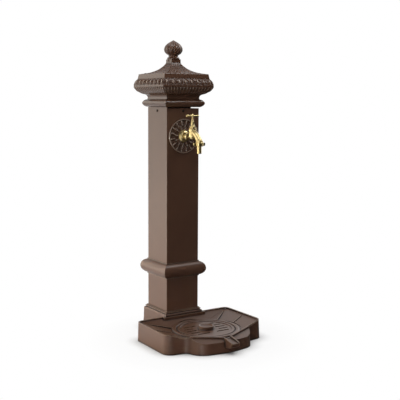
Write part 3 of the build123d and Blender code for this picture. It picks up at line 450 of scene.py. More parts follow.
def dress(name, mesh, body, material, replaces):
    """Shade a mesh smoothly, with its normals outwards, and hang it on a body."""
    work = bmesh.new()
    work.from_mesh(mesh)
    bmesh.ops.recalc_face_normals(work, faces=work.faces)
    for face in work.faces:
        face.smooth = True
    for edge in work.edges:
        if len(edge.link_faces) == 2 and edge.calc_face_angle() > SHARP_CORNER:
            edge.smooth = False
    work.to_mesh(mesh)
    work.free()
    mesh.materials.append(material)
    piece = bpy.data.objects.new(name, mesh)
    bpy.context.collection.objects.link(piece)
    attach(piece, body)
    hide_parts(*replaces)
    print(name, "has", len(mesh.polygons), "faces")


print("corners stay sharp above", round(math.degrees(SHARP_CORNER)), "degrees")

# %% From a grid of points to a mesh
PLAIN_LIFT = 0.3


def grid_piece(name, rings, body, material, replaces, closed=True, lift=None):
    """A solid from rings of points in millimetres; an open stack of rings gets a point at each end.

    Lift is a value from 0 to 1 for each point that sets its painted highlight and painted shade.
    """
    rows, columns = rings.shape[:2]
    index = np.arange(rows * columns).reshape(rows, columns)
    above = np.roll(index, -1, axis=0)
    corners = [index, np.roll(index, -1, axis=1), np.roll(above, -1, axis=1), above]
    quads = np.stack(corners, axis=-1)
    points = rings.reshape(-1, 3)
    faces = (quads if closed else quads[:-1]).reshape(-1, 4).tolist()
    if not closed:
        ends = np.array([rings[0].mean(axis=0), rings[-1].mean(axis=0)])
        points = np.concatenate([points, ends])
        for ring, tip in ((index[0], rows * columns), (index[-1], rows * columns + 1)):
            following = np.roll(ring, -1)
            faces += [[int(a), int(b), tip] for a, b in zip(ring, following)]
    mesh = bpy.data.meshes.new(name)
    mesh.from_pydata((points * MM).tolist(), [], faces)
    lifts = np.full(len(points), PLAIN_LIFT)
    if lift is not None:
        lifts[:rows * columns] = np.clip(lift, 0, 1).reshape(-1)
    mesh.attributes.new(LIFT, "FLOAT", "POINT").data.foreach_set("value", lifts)
    dress(name, mesh, body, material, replaces)


print("a point of a plain surface has a lift of", PLAIN_LIFT)

# %% [markdown]
# ## Outlines
#
# A moulding is a chain of arcs and straight lines, as on a drawing. Blender's curves can
# bend the same way, but the relief needs to know how far along the outline each point is.
# So the outline is worked out as points, with a step that is fine where ornament sits and
# coarse where nothing happens. Each run leaves out its last point, which is the next one's
# first.

# %% Outlines
def arc_points(a, via, b, step):
    """Points on the circle through a, via and b, without b itself."""
    (ax, ay), (vx, vy), (bx, by) = a, via, b
    turn = 2 * (ax * (vy - by) + vx * (by - ay) + bx * (ay - vy))
    sa, sv, sb = ax * ax + ay * ay, vx * vx + vy * vy, bx * bx + by * by
    cx = (sa * (vy - by) + sv * (by - ay) + sb * (ay - vy)) / turn
    cy = (sa * (bx - vx) + sv * (ax - bx) + sb * (vx - ax)) / turn
    radius = math.hypot(ax - cx, ay - cy)
    start = math.atan2(ay - cy, ax - cx)
    sweep = (math.atan2(by - cy, bx - cx) - start) % (2 * math.pi)
    clockwise = turn < 0
    if clockwise:
        sweep -= 2 * math.pi
    count = max(2, math.ceil(abs(sweep) * radius / step))
    angles = start + sweep * np.arange(count) / count
    return np.stack([cx + radius * np.cos(angles), cy + radius * np.sin(angles)], axis=1)


def line_points(a, b, step):
    """Points from a towards b, without b itself."""
    a, b = np.array(a, float), np.array(b, float)
    count = max(1, math.ceil(np.linalg.norm(b - a) / step))
    return a + (b - a) * (np.arange(count) / count)[:, None]


def smooth_points(knots, step):
    """A smooth curve through the knots, without the last one."""
    knots = np.array(knots, float)
    first, last = 2 * knots[0] - knots[1], 2 * knots[-1] - knots[-2]
    padded = np.concatenate([[first], knots, [last]])
    parts = []
    for before, a, b, after in zip(padded, padded[1:], padded[2:], padded[3:]):
        count = max(1, math.ceil(np.linalg.norm(b - a) / step))
        t = (np.arange(count) / count)[:, None]
        square = (2 * before - 5 * a + 4 * b - after) * t ** 2
        cube = (3 * a - before - 3 * b + after) * t ** 3
        parts.append(0.5 * (2 * a + (b - before) * t + square + cube))
    return np.concatenate(parts)


quarter = arc_points((10.0, 0.0), (7.07, 7.07), (0.0, 10.0), 1.0)
print("a quarter circle 10 mm in radius gets", len(quarter), "points")

# %% [markdown]
# ## The cap
#
# The cap is a square casting with mitred corners. From below it has a plain rounded
# moulding, a cove, a quarter round with a row of small leaves, a row of eggs between
# darts, a plain band, a hollow-curved roof covered with leaf scales, and a neck. It could
# be stacked from one ring for each moulding, but a line would show at every joint, and the
# real cap is one casting. So one outline carries all of it round the four sides. The
# outline goes on inside, so the casting is hollow, as the real one is.

# %% Cap outline
COARSE, MOULDING, FINE, HOLE_EDGE = 2.2, 1.2, 0.85, 0.5
ROD_BORE = 5.3
LEAF_REACH = 3.0
CAP_RUNS = [  # distance from the axis and height, in millimetres
    line_points((54.0, 731.5), (62.0, 731.5), COARSE),
    arc_points((62.0, 731.5), (70.5, 736.8), (74.0, 743.5), MOULDING),
    arc_points((74.0, 743.5), (71.4, 750.0), (63.5, 755.5), MOULDING),
    line_points((63.5, 755.5), (61.2, 756.5), COARSE),
    arc_points((61.2, 756.5), (60.6, 762.5), (65.5, 770.5), 1.5),
    line_points((65.5, 770.5), (69.0, 771.8), COARSE),
    arc_points((69.0, 771.8), (86.2, 782.4), (93.2, 794.0), FINE),
    arc_points((93.2, 794.0), (93.8, 800.0), (92.6, 806.5), FINE),
    arc_points((92.6, 806.5), (89.8, 813.5), (85.2, 819.5), FINE),
    line_points((85.2, 819.5), (84.0, 822.0), FINE),
    line_points((84.0, 822.0), (81.8, 835.4), COARSE),
    line_points((81.8, 835.4), (81.2, 836.0), COARSE),
    smooth_points([(81.2, 836.0), (62.0, 839.2), (46.3, 844.8), (35.2, 851.2),
                   (28.0, 857.4), (21.8, 864.0), (17.6, 871.0)], FINE),
    line_points((17.6, 871.0), (17.0, 872.5), COARSE),
    line_points((17.0, 872.5), (17.0, 883.0), HOLE_EDGE),
    line_points((17.0, 883.0), (ROD_BORE, 883.0), 6.0),
    line_points((ROD_BORE, 883.0), (ROD_BORE, 858.0), 12.0),
    line_points((ROD_BORE, 858.0), (22.0, 854.0), 10.0),
    line_points((22.0, 854.0), (44.0, 838.0), 14.0),
    line_points((44.0, 838.0), (76.0, 828.0), 14.0),
    line_points((76.0, 828.0), (76.0, 790.0), 20.0),
    line_points((76.0, 790.0), (54.0, 766.0), 16.0),
    line_points((54.0, 766.0), (54.0, 731.5), 18.0),
]
LEAF_RUN, EGG_RUN, BAND_RUN, ROOF_RUN, NECK_RUN = 6, 7, 10, 12, 13
outline = np.concatenate(CAP_RUNS)
steps = np.linalg.norm(np.roll(outline, -1, axis=0) - outline, axis=1)
travel = np.concatenate([[0], np.cumsum(steps)[:-1]])
tangent = np.roll(outline, -1, axis=0) - np.roll(outline, 1, axis=0)
tangent /= np.linalg.norm(tangent, axis=1)[:, None]
outward = np.stack([tangent[:, 1], -tangent[:, 0]], axis=1)


def travel_at(run):
    """Distance along the outline where a run of it starts."""
    return travel[sum(len(points) for points in CAP_RUNS[:run])]


LEAF_START, EGG_START = travel_at(LEAF_RUN), travel_at(EGG_RUN) + LEAF_REACH
EGG_END = travel_at(BAND_RUN)
ROOF_START, ROOF_END = travel_at(ROOF_RUN), travel_at(NECK_RUN)
print("cap outline:", len(outline), "points,", round(float(steps.sum())), "mm")

# %% [markdown]
# ## Ornament on the cap
#
# Every point of one side has two coordinates: s, the way along the outline, and t, from
# -1 at one mitre to 1 at the other. Counting the eggs, leaves and scales from t keeps
# them whole and evenly spread on a side that gets narrower towards the neck. Each row
# below is one height map in millimetres.

# %% The two coordinates of a side
SIDE_POINTS = 208
t = (-1 + 2 * np.arange(SIDE_POINTS) / SIDE_POINTS)[None, :]
s = travel[:, None]
half = outline[:, :1]


def cells(count, shift=0.0):
    """Distance in millimetres from the middle of the nearest of count equal cells along a side."""
    place = (t + 1) / 2 * count + shift
    return (place % 1 - 0.5) * 2 * half / count


print("one side of the cap has", len(outline) * SIDE_POINTS, "points")

# %% [markdown]
# ## Eggs and darts, and the leaves below them
#
# An egg is half a ball in a raised shell, with a groove between the two and a dart that
# fills the gap to the next shell. Below, on the underside of the quarter round, hangs a
# row of small leaves. Eggs could be separate balls set on the moulding, but cast ones
# grow out of it without a seam. On the height map the tallest of egg, shell and dart wins
# at each point. The row goes half into and half out of the plain moulding, so the casting
# keeps its size.

# %% Rows of the moulding
# Sizes are in millimetres, and a middle is measured down from the plain band.
EGGS, EGG_HEIGHT, EGG_MIDDLE, EGG_WIDTH, EGG_LENGTH = 8, 3.0, 12.5, 4.3, 9.6
SHELL_HEIGHT, SHELL_MIDDLE, SHELL_WIDTH, SHELL_LENGTH, SHELL_SCALE = 1.7, 11.0, 7.6, 13.0, 7
GROOVE_DEPTH, GROOVE_PLACE = 0.7, 0.74
DART_HEIGHT, DART_WIDTH = 1.5, 2.4
EGG_GROUND = 1.5
TOP_EDGE, FOOT_EDGE = (-0.2, 1.4), (0, 6.5)
SHINE_LEAST, SHINE_MIDDLE, SHINE_WIDTH, SHINE_LENGTH = 0.06, 12.0, 2.9, 9.0
SMALL_LEAVES, LEAF_HEIGHT, BUD_HEIGHT, LEAF_GROUND = 16, 1.1, 0.8, 0.4
LEAF_EDGE = (0, 0.1)


def egg_row():
    """Eggs in their shells, with darts between them."""
    x = cells(EGGS)
    y = EGG_END - s
    depth = EGG_END - EGG_START
    egg = EGG_HEIGHT * dome(x / EGG_WIDTH, (y - EGG_MIDDLE) / EGG_LENGTH)
    ring = np.sqrt((x / SHELL_WIDTH) ** 2 + ((y - SHELL_MIDDLE) / SHELL_LENGTH) ** 2)
    shell = SHELL_HEIGHT * ridge((ring - 1) * SHELL_SCALE, 1.5)
    groove = GROOVE_DEPTH * ridge((ring - GROOVE_PLACE) * SHELL_SCALE, 1.0)
    gap = half / EGGS - np.abs(x)
    dart = DART_HEIGHT * ridge(gap, DART_WIDTH * (1.05 - y / depth)) * (y < depth)
    height = np.maximum(np.maximum(egg, shell - groove), dart) - EGG_GROUND
    height = height * fade(y, *TOP_EDGE) * fade(depth - y, *FOOT_EDGE)
    return height * (s >= EGG_START) * (s <= EGG_END)


def egg_shine():
    """How strong the painted highlight in the middle of each egg is, from 0 to 1."""
    y = EGG_END - s
    shine = dome(cells(EGGS) / SHINE_WIDTH, (y - SHINE_MIDDLE) / SHINE_LENGTH)
    return SHINE_LEAST + (1 - SHINE_LEAST) * shine


def small_leaf_row():
    """A row of small leaves on the underside of the quarter round, with buds between them."""
    depth = EGG_START - LEAF_START
    along = (s - LEAF_START - 1) / (depth - 1)
    leaves = LEAF_HEIGHT * leaf(cells(SMALL_LEAVES), along, 5.0, 3)
    buds = BUD_HEIGHT * leaf(cells(SMALL_LEAVES, 0.5), (along - 0.45) / 0.55, 1.8, 1)
    edges = fade(along, *LEAF_EDGE) * fade(1 - along, *LEAF_EDGE)
    return (np.maximum(leaves, buds) - LEAF_GROUND) * edges


print("on each side,", EGGS, "eggs and", SMALL_LEAVES, "small leaves")

# %% [markdown]
# ## Scales on the roof
#
# The roof is covered with rows of leaves that overlap like tiles: each row starts at
# the end of the row above it and lies over the next one. Every second row is shifted by
# half a leaf. A plain border with a thin ridge runs along each mitre. An array of copied
# leaves would keep one size, but these shrink with the roof: their width is a share of
# the side at that height.

# %% Roof
SCALE_ROWS = [0.98, 0.78, 0.60, 0.43, 0.27, 0.12]  # from the neck down to the eave
SCALES_ACROSS = 7
OVERLAP = 1.35
ROOF_SIDE = 80
SIDE_BORDER, BORDER_GAP, BORDER_HEIGHT, BORDER_WIDTH = 0.84, 0.03, 0.7, 1.4
LOWEST, HIGHEST = 0.02, 0.985


def roof_scales():
    """Rows of leaf scales on the roof, which point down and get smaller towards the neck."""
    v = (s - ROOF_START) / (ROOF_END - ROOF_START)
    pitch = 2 * SIDE_BORDER * half / SCALES_ACROSS
    size = 1.0 + 0.8 * half / ROOF_SIDE
    height = np.zeros((len(outline), SIDE_POINTS))
    for row, (top, bottom) in enumerate(zip(SCALE_ROWS, SCALE_ROWS[1:])):
        along = (top - v) / ((top - bottom) * OVERLAP)
        place = (t / SIDE_BORDER + 1) / 2 * SCALES_ACROSS + 0.5 * (row % 2)
        across = (place % 1 - 0.5) * pitch
        rise = 0.55 + 0.45 * np.clip(along, 0, 1)
        height = np.maximum(height, size * leaf(across, along, 0.5 * pitch, 3) * rise)
    inside = fade(SIDE_BORDER - np.abs(t), 0, BORDER_GAP)
    beyond = (np.abs(t) - SIDE_BORDER - BORDER_GAP) * half
    border = BORDER_HEIGHT * ridge(beyond, BORDER_WIDTH)
    return np.maximum(height * inside, border) * (v > LOWEST) * (v < HIGHEST)


print("roof scales:", len(SCALE_ROWS) - 1, "rows of", SCALES_ACROSS, "on each side")

# %% [markdown]
# ## One side, four times
#
# The set screw sits in a hole in the left side of the neck only. The hole could be cut
# with a boolean, but a push inwards on the same grid keeps the mesh clean. The pushes
# follow the outline's own normal, and they stop at the widest line of the plain casting,
# so that the dressed cap fits the frame. The finished side is turned about the axis
# three times.

# %% Cap sides
WIDEST = 93.8
SIDES, LEFT_SIDE = 4, 3
SCREW_HEIGHT, HOLE_RADIUS, HOLE_DEPTH = 878.0, 3.1, 3.2


def screw_hole():
    """The hole for the set screw in the left side of the neck: a push inwards."""
    distance = np.hypot(t * half, outline[:, 1:] - SCREW_HEIGHT)
    on_neck = (half < 17.5) & (half > 16.9)
    return -HOLE_DEPTH * fade(HOLE_RADIUS - distance, 0, 0.4) * on_neck


def pushed_rings(per_side):
    """Points of the square rings, pushed out along the outline's own normal."""
    sides = []
    for number, push in enumerate(per_side):
        reach = np.minimum(half + push * outward[:, :1], WIDEST)
        x, y = t * reach, -reach
        z = outline[:, 1:] + push * outward[:, 1:]
        angle = number * math.pi / 2
        turned_x = x * math.cos(angle) - y * math.sin(angle)
        turned_y = x * math.sin(angle) + y * math.cos(angle)
        sides.append(np.stack([turned_x, turned_y, z + 0 * x], axis=-1))
    return np.concatenate(sides, axis=1)


in_leaf_row = (s >= LEAF_START) & (s < EGG_START)
ornament = egg_row() + small_leaf_row() * in_leaf_row + roof_scales()
pushes = [ornament + (screw_hole() if side == LEFT_SIDE else 0) for side in range(SIDES)]
print("the ornament goes from", round(float(ornament.min()), 1), "to",
      round(float(ornament.max()), 1), "mm")

# %% [markdown]
# ## Painted light and shade on the cap
#
# The lift tells the paint where painted highlights and painted shade go. On the leaves and
# the scales it is simply the height of the relief. On the eggs only the middle gets a
# painted highlight. The foot of the neck gets painted shade.

# %% Cap piece
DARK_BELOW, DARK_ABOVE = 4.0, 3.0
LEAF_RELIEF, SCALE_RELIEF, SCALE_GROWTH = 1.3, 1.8, 1.1
in_egg_row = (s >= EGG_START) & (s <= EGG_END)
on_roof = (s > ROOF_START) & (s < ROOF_END)
neck_foot = (s > ROOF_END - DARK_BELOW) & (s < ROOF_END + DARK_ABOVE)
leaf_lift = (ornament + LEAF_GROUND) / LEAF_RELIEF
roof_lift = ornament / (SCALE_RELIEF + SCALE_GROWTH * half / ROOF_SIDE)
side_lift = np.where(in_leaf_row, leaf_lift, PLAIN_LIFT)
# The middle of each egg gets a painted highlight.
side_lift = np.where(in_egg_row, egg_shine(), side_lift)
side_lift = np.where(on_roof, roof_lift, side_lift)
# The foot of the neck gets painted shade.
side_lift = np.where(neck_foot, 0.0, side_lift)
cap_lift = np.concatenate([side_lift] * SIDES, axis=1)
grid_piece("cap_casting", pushed_rings(pushes), "fountain", relief_paint, ["cap"],
           lift=cap_lift)

# %% [markdown]
# ## Turned pieces: the knop and the finial
#
# The round knop above the neck is a turned shape. The finial is nearly one too: its
# radius is also pulled in by twelve valleys between rounded lobes, which fade towards the
# point and the foot. Blender's Screw modifier turns an outline as well, but it knows no
# lobes, so both pieces are rings round the Z axis on the same grid as the cap.

# %% Knop
def turned_rings(profile, around, radius_change=None):
    """Rings round the Z axis from (radius, height) points."""
    angle = 2 * math.pi * np.arange(around) / around
    radius = profile[:, :1] * np.ones((1, around))
    if radius_change is not None:
        radius = radius * radius_change(profile, angle)
    x, y = radius * np.cos(angle), radius * np.sin(angle)
    return np.stack([x, y, profile[:, 1:] + 0 * radius], axis=-1)


KNOP = [(17.5, 882.4), (19.6, 883.2), (20.5, 885.2), (20.2, 887.0),
        (18.8, 888.8), (16.4, 890.2), (15.4, 891.4), (15.2, 893.0)]
BORE_FOOT, BORE_TOP = (ROD_BORE, 882.4), (ROD_BORE, 893.0)
knop_outline = np.concatenate([
    line_points(BORE_FOOT, KNOP[0], 8.0),
    smooth_points(KNOP, 0.6),
    line_points(KNOP[-1], BORE_TOP, 6.0),
    line_points(BORE_TOP, BORE_FOOT, 8.0),
])
grid_piece("cap_knop", turned_rings(knop_outline, 96), "fountain", glossy_paint,
           ["cap"])

# %% Finial
FINIAL = [(15.6, 893.0), (16.2, 894.4), (15.7, 896.0), (20.6, 898.6), (25.2, 902.2),
          (28.4, 906.4), (30.2, 911.0), (30.6, 914.5), (29.8, 918.6), (27.6, 923.4),
          (24.8, 927.4), (21.2, 931.0), (17.0, 934.2), (12.2, 937.2), (7.4, 940.0),
          (3.2, 942.3), (1.0, 943.5)]
LOBES = 12
FINIAL_POINTS = LOBES * 16
VALLEY_DEPTH, VALLEY_POWER = 0.075, 3.2
VALLEYS_START, VALLEYS_END, END_SHARE = (895.5, 900), (930, 943), 0.6
FINIAL_LIFT, VALLEY_EDGES = 0.22, (0.7, 1.0)


def lobe_place(angle):
    """0 on the crest of a lobe and 1 in the valley beside it."""
    return np.abs((angle / (2 * math.pi) * LOBES) % 1 - 0.5) * 2


def lobed(profile, angle):
    """Twelve rounded lobes with sharp valleys between them."""
    height = profile[:, 1:]
    depth = VALLEY_DEPTH * fade(height, *VALLEYS_START)
    depth = depth * (1 - END_SHARE * fade(height, *VALLEYS_END))
    return 1 - depth * lobe_place(angle)[None, :] ** VALLEY_POWER


finial_outline = np.concatenate([smooth_points(FINIAL, 0.7), [FINIAL[-1]]])
finial_rings = turned_rings(finial_outline, FINIAL_POINTS, lobed)
finial_angle = 2 * math.pi * np.arange(FINIAL_POINTS) / FINIAL_POINTS
# The valleys between the lobes get painted shade.
valley = fade(lobe_place(finial_angle), *VALLEY_EDGES)[None, :]
finial_lift = FINIAL_LIFT * (1 - valley) * np.ones((len(finial_outline), 1))
grid_piece("finial_ball", finial_rings, "fountain", glossy_paint, ["finial"],
           closed=False, lift=finial_lift)

# %% [markdown]
# ## The rosette
#
# The ornamented plate behind the tap has a raised rim and two rings of leaves that point
# outwards, cast in one piece. Small leaves fill the gaps between the large ones, and a
# thin bead parts the two rings. One leaf could be modelled and copied round the circle,
# but the copies would cut into each other at their feet. So the plate is a polar grid:
# its height map is made of the same leaf as the cap's, turned sixteen times for the outer
# ring and twelve times for the inner one. The leaves get bright painted highlights, the
# rim a fainter one, and the low ground between the leaves painted shade.

# %% Rosette relief
ROSETTE_Z, ROSETTE_BACK, ROSETTE_FACE = 640.0, -60.0, -63.4
ROSETTE_R, ROSETTE_HOLE = 55.0, 11.0
ROSETTE_RINGS, ROSETTE_POINTS = 124, 576
LEAF_RINGS = [  # height, count, radius of the foot, of the tip, half width, lobes, shift
    (3.4, 16, 34.0, 50.6, 7.4, 3, 0.0),
    (2.2, 16, 41.0, 50.0, 2.0, 1, 0.5),
    (3.4, 12, 17.0, 35.4, 6.4, 3, 0.25),
    (2.4, 12, 25.0, 36.0, 2.2, 1, 0.75),
]
BEAD_R, BEAD_WIDTH = 35.6, 0.9
RIM_STEP, RIM_HEIGHT = (50.2, 51.2), 2.9
RIM_CREST_R, RIM_CREST, RIM_WIDTH = 52.6, 0.9, 2.2
TALLEST, LAST_RING = 4.0, 54.4
radii = np.linspace(ROSETTE_HOLE, LAST_RING, ROSETTE_RINGS)[:, None]
turn = (2 * math.pi * np.arange(ROSETTE_POINTS) / ROSETTE_POINTS)[None, :]


def leaf_ring(count, foot, tip, half_width, lobes, shift):
    """A ring of leaves that grow outwards, each drawn in its own narrow sector."""
    place = (turn / (2 * math.pi) * count + shift) % 1 - 0.5
    across = place * 2 * math.pi / count * radii
    return leaf(across, (radii - foot) / (tip - foot), half_width, lobes)


relief = ridge(radii - BEAD_R, BEAD_WIDTH)
for height, *drawing in LEAF_RINGS:
    relief = np.maximum(relief, height * leaf_ring(*drawing))
rim = RIM_HEIGHT * fade(radii, *RIM_STEP) + RIM_CREST * ridge(radii - RIM_CREST_R, RIM_WIDTH)
relief = np.minimum(np.maximum(relief, rim), TALLEST)
print("the rosette's relief is up to", round(float(relief.max()), 1), "mm high")

# %% Rosette piece
RIM_START, RIM_LIFT = 50.6, 0.72
LEAVES_LIFT, LEAF_HIGHLIGHT_HEIGHTS = 1.2, (1.6, 3.6)
OUTER_EDGE, EDGE_DROP = (0, 1.2), 1.0


def upright_rings(radius, y):
    """Rings that stand on end round the tap's axis, at the depth y."""
    x, z = radius * np.sin(turn), ROSETTE_Z + radius * np.cos(turn)
    return np.stack([x, y + 0 * turn, z], axis=-1)


rosette_rings = np.concatenate([
    upright_rings(radii, ROSETTE_FACE - relief * fade(ROSETTE_R - radii, *OUTER_EDGE)),
    upright_rings(ROSETTE_R, ROSETTE_FACE + EDGE_DROP),
    upright_rings(ROSETTE_R, ROSETTE_BACK),
    upright_rings(ROSETTE_HOLE, ROSETTE_BACK),
])
# Leaves and rim get painted highlights; low relief between the leaves gets painted shade.
face_lift = np.where(radii > RIM_START, RIM_LIFT, LEAVES_LIFT * fade(relief, *LEAF_HIGHLIGHT_HEIGHTS))
back_lift = np.full((3, ROSETTE_POINTS), PLAIN_LIFT)
rosette_lift = np.concatenate([face_lift, back_lift])
grid_piece("rosette_leaves", rosette_rings, "fountain", rosette_paint, ["rosette"],
           lift=rosette_lift)

# %% [markdown]
# ## A cast look for the tap
#
# In the frame the tap's casting is made of plain cylinders that meet in sharp creases. On
# the real casting every crease is a soft fillet. A bevel there could be no wider than the
# thin triangles beside a curved crease. So a voxel remesh joins the cylinders into one
# skin, and a few rounds of smoothing soften the creases, while the long shapes stay.

# %% Fillets on the tap
casting = frame["nodes"]["tap_body"]
skin = casting.modifiers.new("one skin", "REMESH")
skin.mode = "VOXEL"
skin.voxel_size = 0.5 * MM
skin.use_smooth_shade = True
relax = casting.modifiers.new("fillets", "SMOOTH")
relax.factor = 0.6
relax.iterations = 9
print("tap casting has a skin of", round(skin.voxel_size / MM, 2), "mm voxels")

# %% [markdown]
# ## Softer edges on the plain castings
#
# Castings and painted tube have no razor edges: sand and paint round them, and that thin
# rounding catches light. So does the chamfer on turned brass. A bevel modifier makes it
# without touching the mesh itself.

# %% Bevels
SOFT_EDGES = {"column": 0.5, "plinth": 0.8, "mid_collar": 0.6, "basin": 0.8,
              "drain_grate": 0.5, "wall_flange": 0.4, "bonnet": 0.3, "gland_nut": 0.3,
              "tee_handle": 0.4, "wing_nut": 0.5, "hose_tail": 0.3}
SOFT_CORNER = math.radians(28)
for node, width in SOFT_EDGES.items():
    bevel = frame["nodes"][node].modifiers.new("soft edges", "BEVEL")
    bevel.width = width * MM
    bevel.segments = 2
    bevel.limit_method = "ANGLE"
    bevel.angle_limit = SOFT_CORNER
print("pieces with soft edges:", len(SOFT_EDGES))

# %% [markdown]
# ## The camera
#
# The photograph was taken from the left of the front, a little above the middle, with a
# long lens. The camera could be moved by eye until the picture fits, but a wrong distance
# then hides behind a wrong lens. The object's edges are square and level, and their lines
# in the picture give place, turn and lens at once. The picture is a third of a degree off
# level, so the camera is rolled by that much, and needs no shift.

# %% Camera
CAMERA_PLACE = (-1.3672, -2.2297, 0.7550)
CAMERA_PITCH = math.radians(7.116)
CAMERA_YAW = math.radians(33.452)
CAMERA_ROLL = math.radians(0.36)
camera = bpy.data.objects.new("camera", bpy.data.cameras.new("camera"))
bpy.context.collection.objects.link(camera)
camera.data.lens = 72.24
camera.data.sensor_width = 36.0
camera.data.clip_start = 0.05
camera.data.clip_end = 60.0
aim = Matrix.Rotation(-CAMERA_YAW, 4, "Z") @ Matrix.Rotation(math.pi / 2 - CAMERA_PITCH, 4, "X")
aim = aim @ Matrix.Rotation(CAMERA_ROLL, 4, "Z")
camera.matrix_world = Matrix.Translation(CAMERA_PLACE) @ aim
bpy.context.scene.camera = camera
print("camera at", tuple(round(v, 3) for v in camera.location))

# %% [markdown]
# ## Light
#
# A product photograph on white: the left faces shine and the front faces stay in shade.
# One picture of a studio, wrapped round the scene, could light it, but its parts couldn't
# be moved one by one. Eight soft area lights can:
#
# - left: a wide warm light behind the left shoulder, for the pale sheen on the left faces;
# - low: a flat one beside it, for the foot and the left panels of the basin;
# - strip: an upright one left of the camera, for the long glints on the brass;
# - window: a small one high in front, for the glints on the finial and the roof;
# - basin: a very low and narrow one, for the front panels of the basin;
# - right: a large dim one behind on the right, so that the brass isn't black there;
# - edge: a narrow one high on the right front, for the edges of the cap;
# - top: one above, for the bowl, the grate and all tops.

# %% Lights
WARM = (1.0, 0.945, 0.81)
NEUTRAL = (1, 1, 1)


def soft_light(name, place, target, size, power, colour=NEUTRAL, spread=180):
    """A soft box of a width and height in metres that looks at its target."""
    lamp = bpy.data.lights.new(name, "AREA")
    lamp.color = colour
    lamp.spread = math.radians(spread)
    lamp.shape = "RECTANGLE"
    lamp.size, lamp.size_y = size
    lamp.energy = power
    holder = bpy.data.objects.new(name, lamp)
    bpy.context.collection.objects.link(holder)
    holder.location = place
    holder.visible_camera = False
    view = Vector(target) - Vector(place)
    holder.rotation_euler = view.to_track_quat("-Z", "Y").to_euler()
    print("light", name, power, "W")


soft_light("light_left", (-2.0, 1.5, 1.25), (0, 0, 0.85), (5.2, 2.2), 42, WARM)
soft_light("light_low", (-1.7, 1.0, 0.20), (0, -0.08, 0.10), (1.6, 0.25), 2.6, WARM, 40)
soft_light("light_strip", (-1.95, -1.25, 0.75), (0, -0.15, 0.25), (0.20, 1.4), 9)
soft_light("light_window", (-0.75, -1.85, 1.75), (0, -0.06, 0.78), (0.30, 0.60), 0.60, spread=60)
soft_light("light_basin", (-1.0, -1.5, 0.04), (0, -0.28, 0.02), (0.50, 0.06), 0.11, spread=20)
soft_light("light_right", (2.2, 0.7, 0.9), (0, 0, 0.4), (2.4, 2.0), 14)
soft_light("light_edge", (0.75, -0.60, 1.85), (0, -0.06, 0.75), (1.2, 0.14), 8)
soft_light("light_top", (-0.5, -0.3, 3.4), (0, -0.10, 0.3), (1.6, 1.6), 26)

# %% [markdown]
# ## The room
#
# The camera has to see white all round. If that white lit the fountain too, no face would
# stay in shade. So the world is white for camera rays and nearly black for light. Glossy
# rays, the ones that brass and wet-looking paint send out, find a bright backdrop behind
# the fountain and a bright wall far on the right, as in a studio.

# %% World
AMBIENT = 0.006
BACKDROP_WHITE, WALL_WHITE = 0.72, 0.7
BACKDROP_SLOPE, BACKDROP_EDGE = 2.0, 0.2
WALL_START, WALL_SLOPE = 0.62, 8.0
WHITE = (1, 1, 1, 1)
world = bpy.data.worlds.new("studio")
bpy.context.scene.world = world
sky = Finish(world)
seen = sky.node("ShaderNodeLightPath", output="Is Camera Ray")
mirrored = sky.node("ShaderNodeLightPath", output="Is Glossy Ray")
direction = sky.node("ShaderNodeTexCoord", output="Generated")
rearward = sky.node("ShaderNodeSeparateXYZ", {}, {"Vector": direction}, "Y")
rightward = sky.node("ShaderNodeSeparateXYZ", {}, {"Vector": direction}, "X")
backdrop = (rearward * BACKDROP_SLOPE + BACKDROP_EDGE).clipped() * BACKDROP_WHITE
side_wall = ((rightward - WALL_START) * WALL_SLOPE).clipped() * WALL_WHITE
white_share = (seen + mirrored * backdrop + mirrored * side_wall).clipped()
strength = AMBIENT + white_share * (1 - AMBIENT)
studio = sky.node("ShaderNodeBackground", {}, {"Color": WHITE, "Strength": strength})
sky.node("ShaderNodeOutputWorld", {}, {"Surface": studio})
print("the world has", len(sky.tree.nodes), "nodes and an ambient light of", AMBIENT)

# %% [markdown]
# ## The floor
#
# The floor is white paper with a soft contact shadow. Real paper would need so much light
# that the fountain would be washed out. So for camera rays the floor glows by itself, a
# little less near the fountain and least where ambient occlusion finds it close by. For
# light that bounces it is dark grey in front, where the photograph has shade, and bright
# at the rear left, where the large light falls on it.

# %% The sheet of paper
FLOOR_REACH = 14.0
FLOOR_DROP = 0.0003
corners = [(-1, -1), (1, -1), (1, 1), (-1, 1)]
floor_mesh = bpy.data.meshes.new("floor")
floor_mesh.from_pydata([(x * FLOOR_REACH, y * FLOOR_REACH, 0) for x, y in corners], [],
                       [(0, 1, 2, 3)])
floor = bpy.data.objects.new("floor", floor_mesh)
bpy.context.collection.objects.link(floor)
floor.location.z = cad_low.z - FLOOR_DROP
print("floor of", 2 * FLOOR_REACH, "m at a height of", round(floor.location.z, 4), "m")

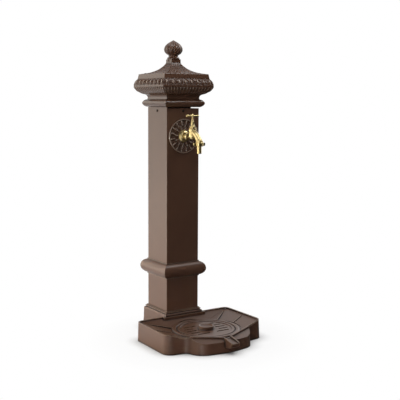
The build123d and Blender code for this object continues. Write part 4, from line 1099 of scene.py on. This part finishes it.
# %% The white of the paper
NEAR_SHADOW, FAR_SHADOW = 0.21, 0.36
SHADOW_MIDDLE = (0, -0.15, 0)
CONTACT_REACH, CONTACT_DEPTH = 0.045, 1.3
LIT_REAR, LIT_LEFT, LIT_SLOPE = 0.6, 0.8, 4.0
BOUNCE_FRONT, BOUNCE_REAR = (0.09, 0.09, 0.09, 1), (0.78, 0.78, 0.78, 1)
PAPER_CONTACT, PAPER_OPEN = (0.20, 0.18, 0.17, 1), (0.90, 0.90, 0.90, 1)
NEAR_GLOW, MIRRORED_GLOW = 0.90, 0.9
ground = new_finish("floor_white")
looking = ground.node("ShaderNodeLightPath", output="Is Camera Ray")
reflected = ground.node("ShaderNodeLightPath", output="Is Glossy Ray")
spot = ground.node("ShaderNodeTexCoord", output="Object")
beside = ground.node("ShaderNodeSeparateXYZ", {}, {"Vector": spot}, "X")
behind = ground.node("ShaderNodeSeparateXYZ", {}, {"Vector": spot}, "Y")
rear_left = ((behind * LIT_REAR - beside * LIT_LEFT) * LIT_SLOPE).clipped()
distance = {"operation": "DISTANCE"}
away = ground.node("ShaderNodeVectorMath", distance, {0: spot, 1: SHADOW_MIDDLE}, "Value")
beyond = ((away - NEAR_SHADOW) / (FAR_SHADOW - NEAR_SHADOW)).clipped()
close_by = {"Distance": CONTACT_REACH}
contact = ground.node("ShaderNodeAmbientOcclusion", {"samples": 16}, close_by, "AO")
bounce = ground.blend(rear_left, BOUNCE_FRONT, BOUNCE_REAR)
seen_paper = ground.blend(contact, PAPER_CONTACT, PAPER_OPEN)
paper = ground.blend(looking, bounce, seen_paper)
matt = ground.node("ShaderNodeBsdfDiffuse", {}, {"Color": paper})
white = ground.node("ShaderNodeEmission", {}, {"Color": WHITE, "Strength": 1.0})
glow = (NEAR_GLOW + beyond * (1 - NEAR_GLOW) - (1 - contact) * CONTACT_DEPTH).clipped()
share = (looking * glow + reflected * rear_left * MIRRORED_GLOW).clipped()
mixed = ground.node("ShaderNodeMixShader", {}, {"Fac": share, 1: matt, 2: white})
ground.node("ShaderNodeOutputMaterial", {}, {"Surface": mixed})
floor_mesh.materials.append(ground.owner)
print("the contact shadow reaches", CONTACT_REACH, "m")
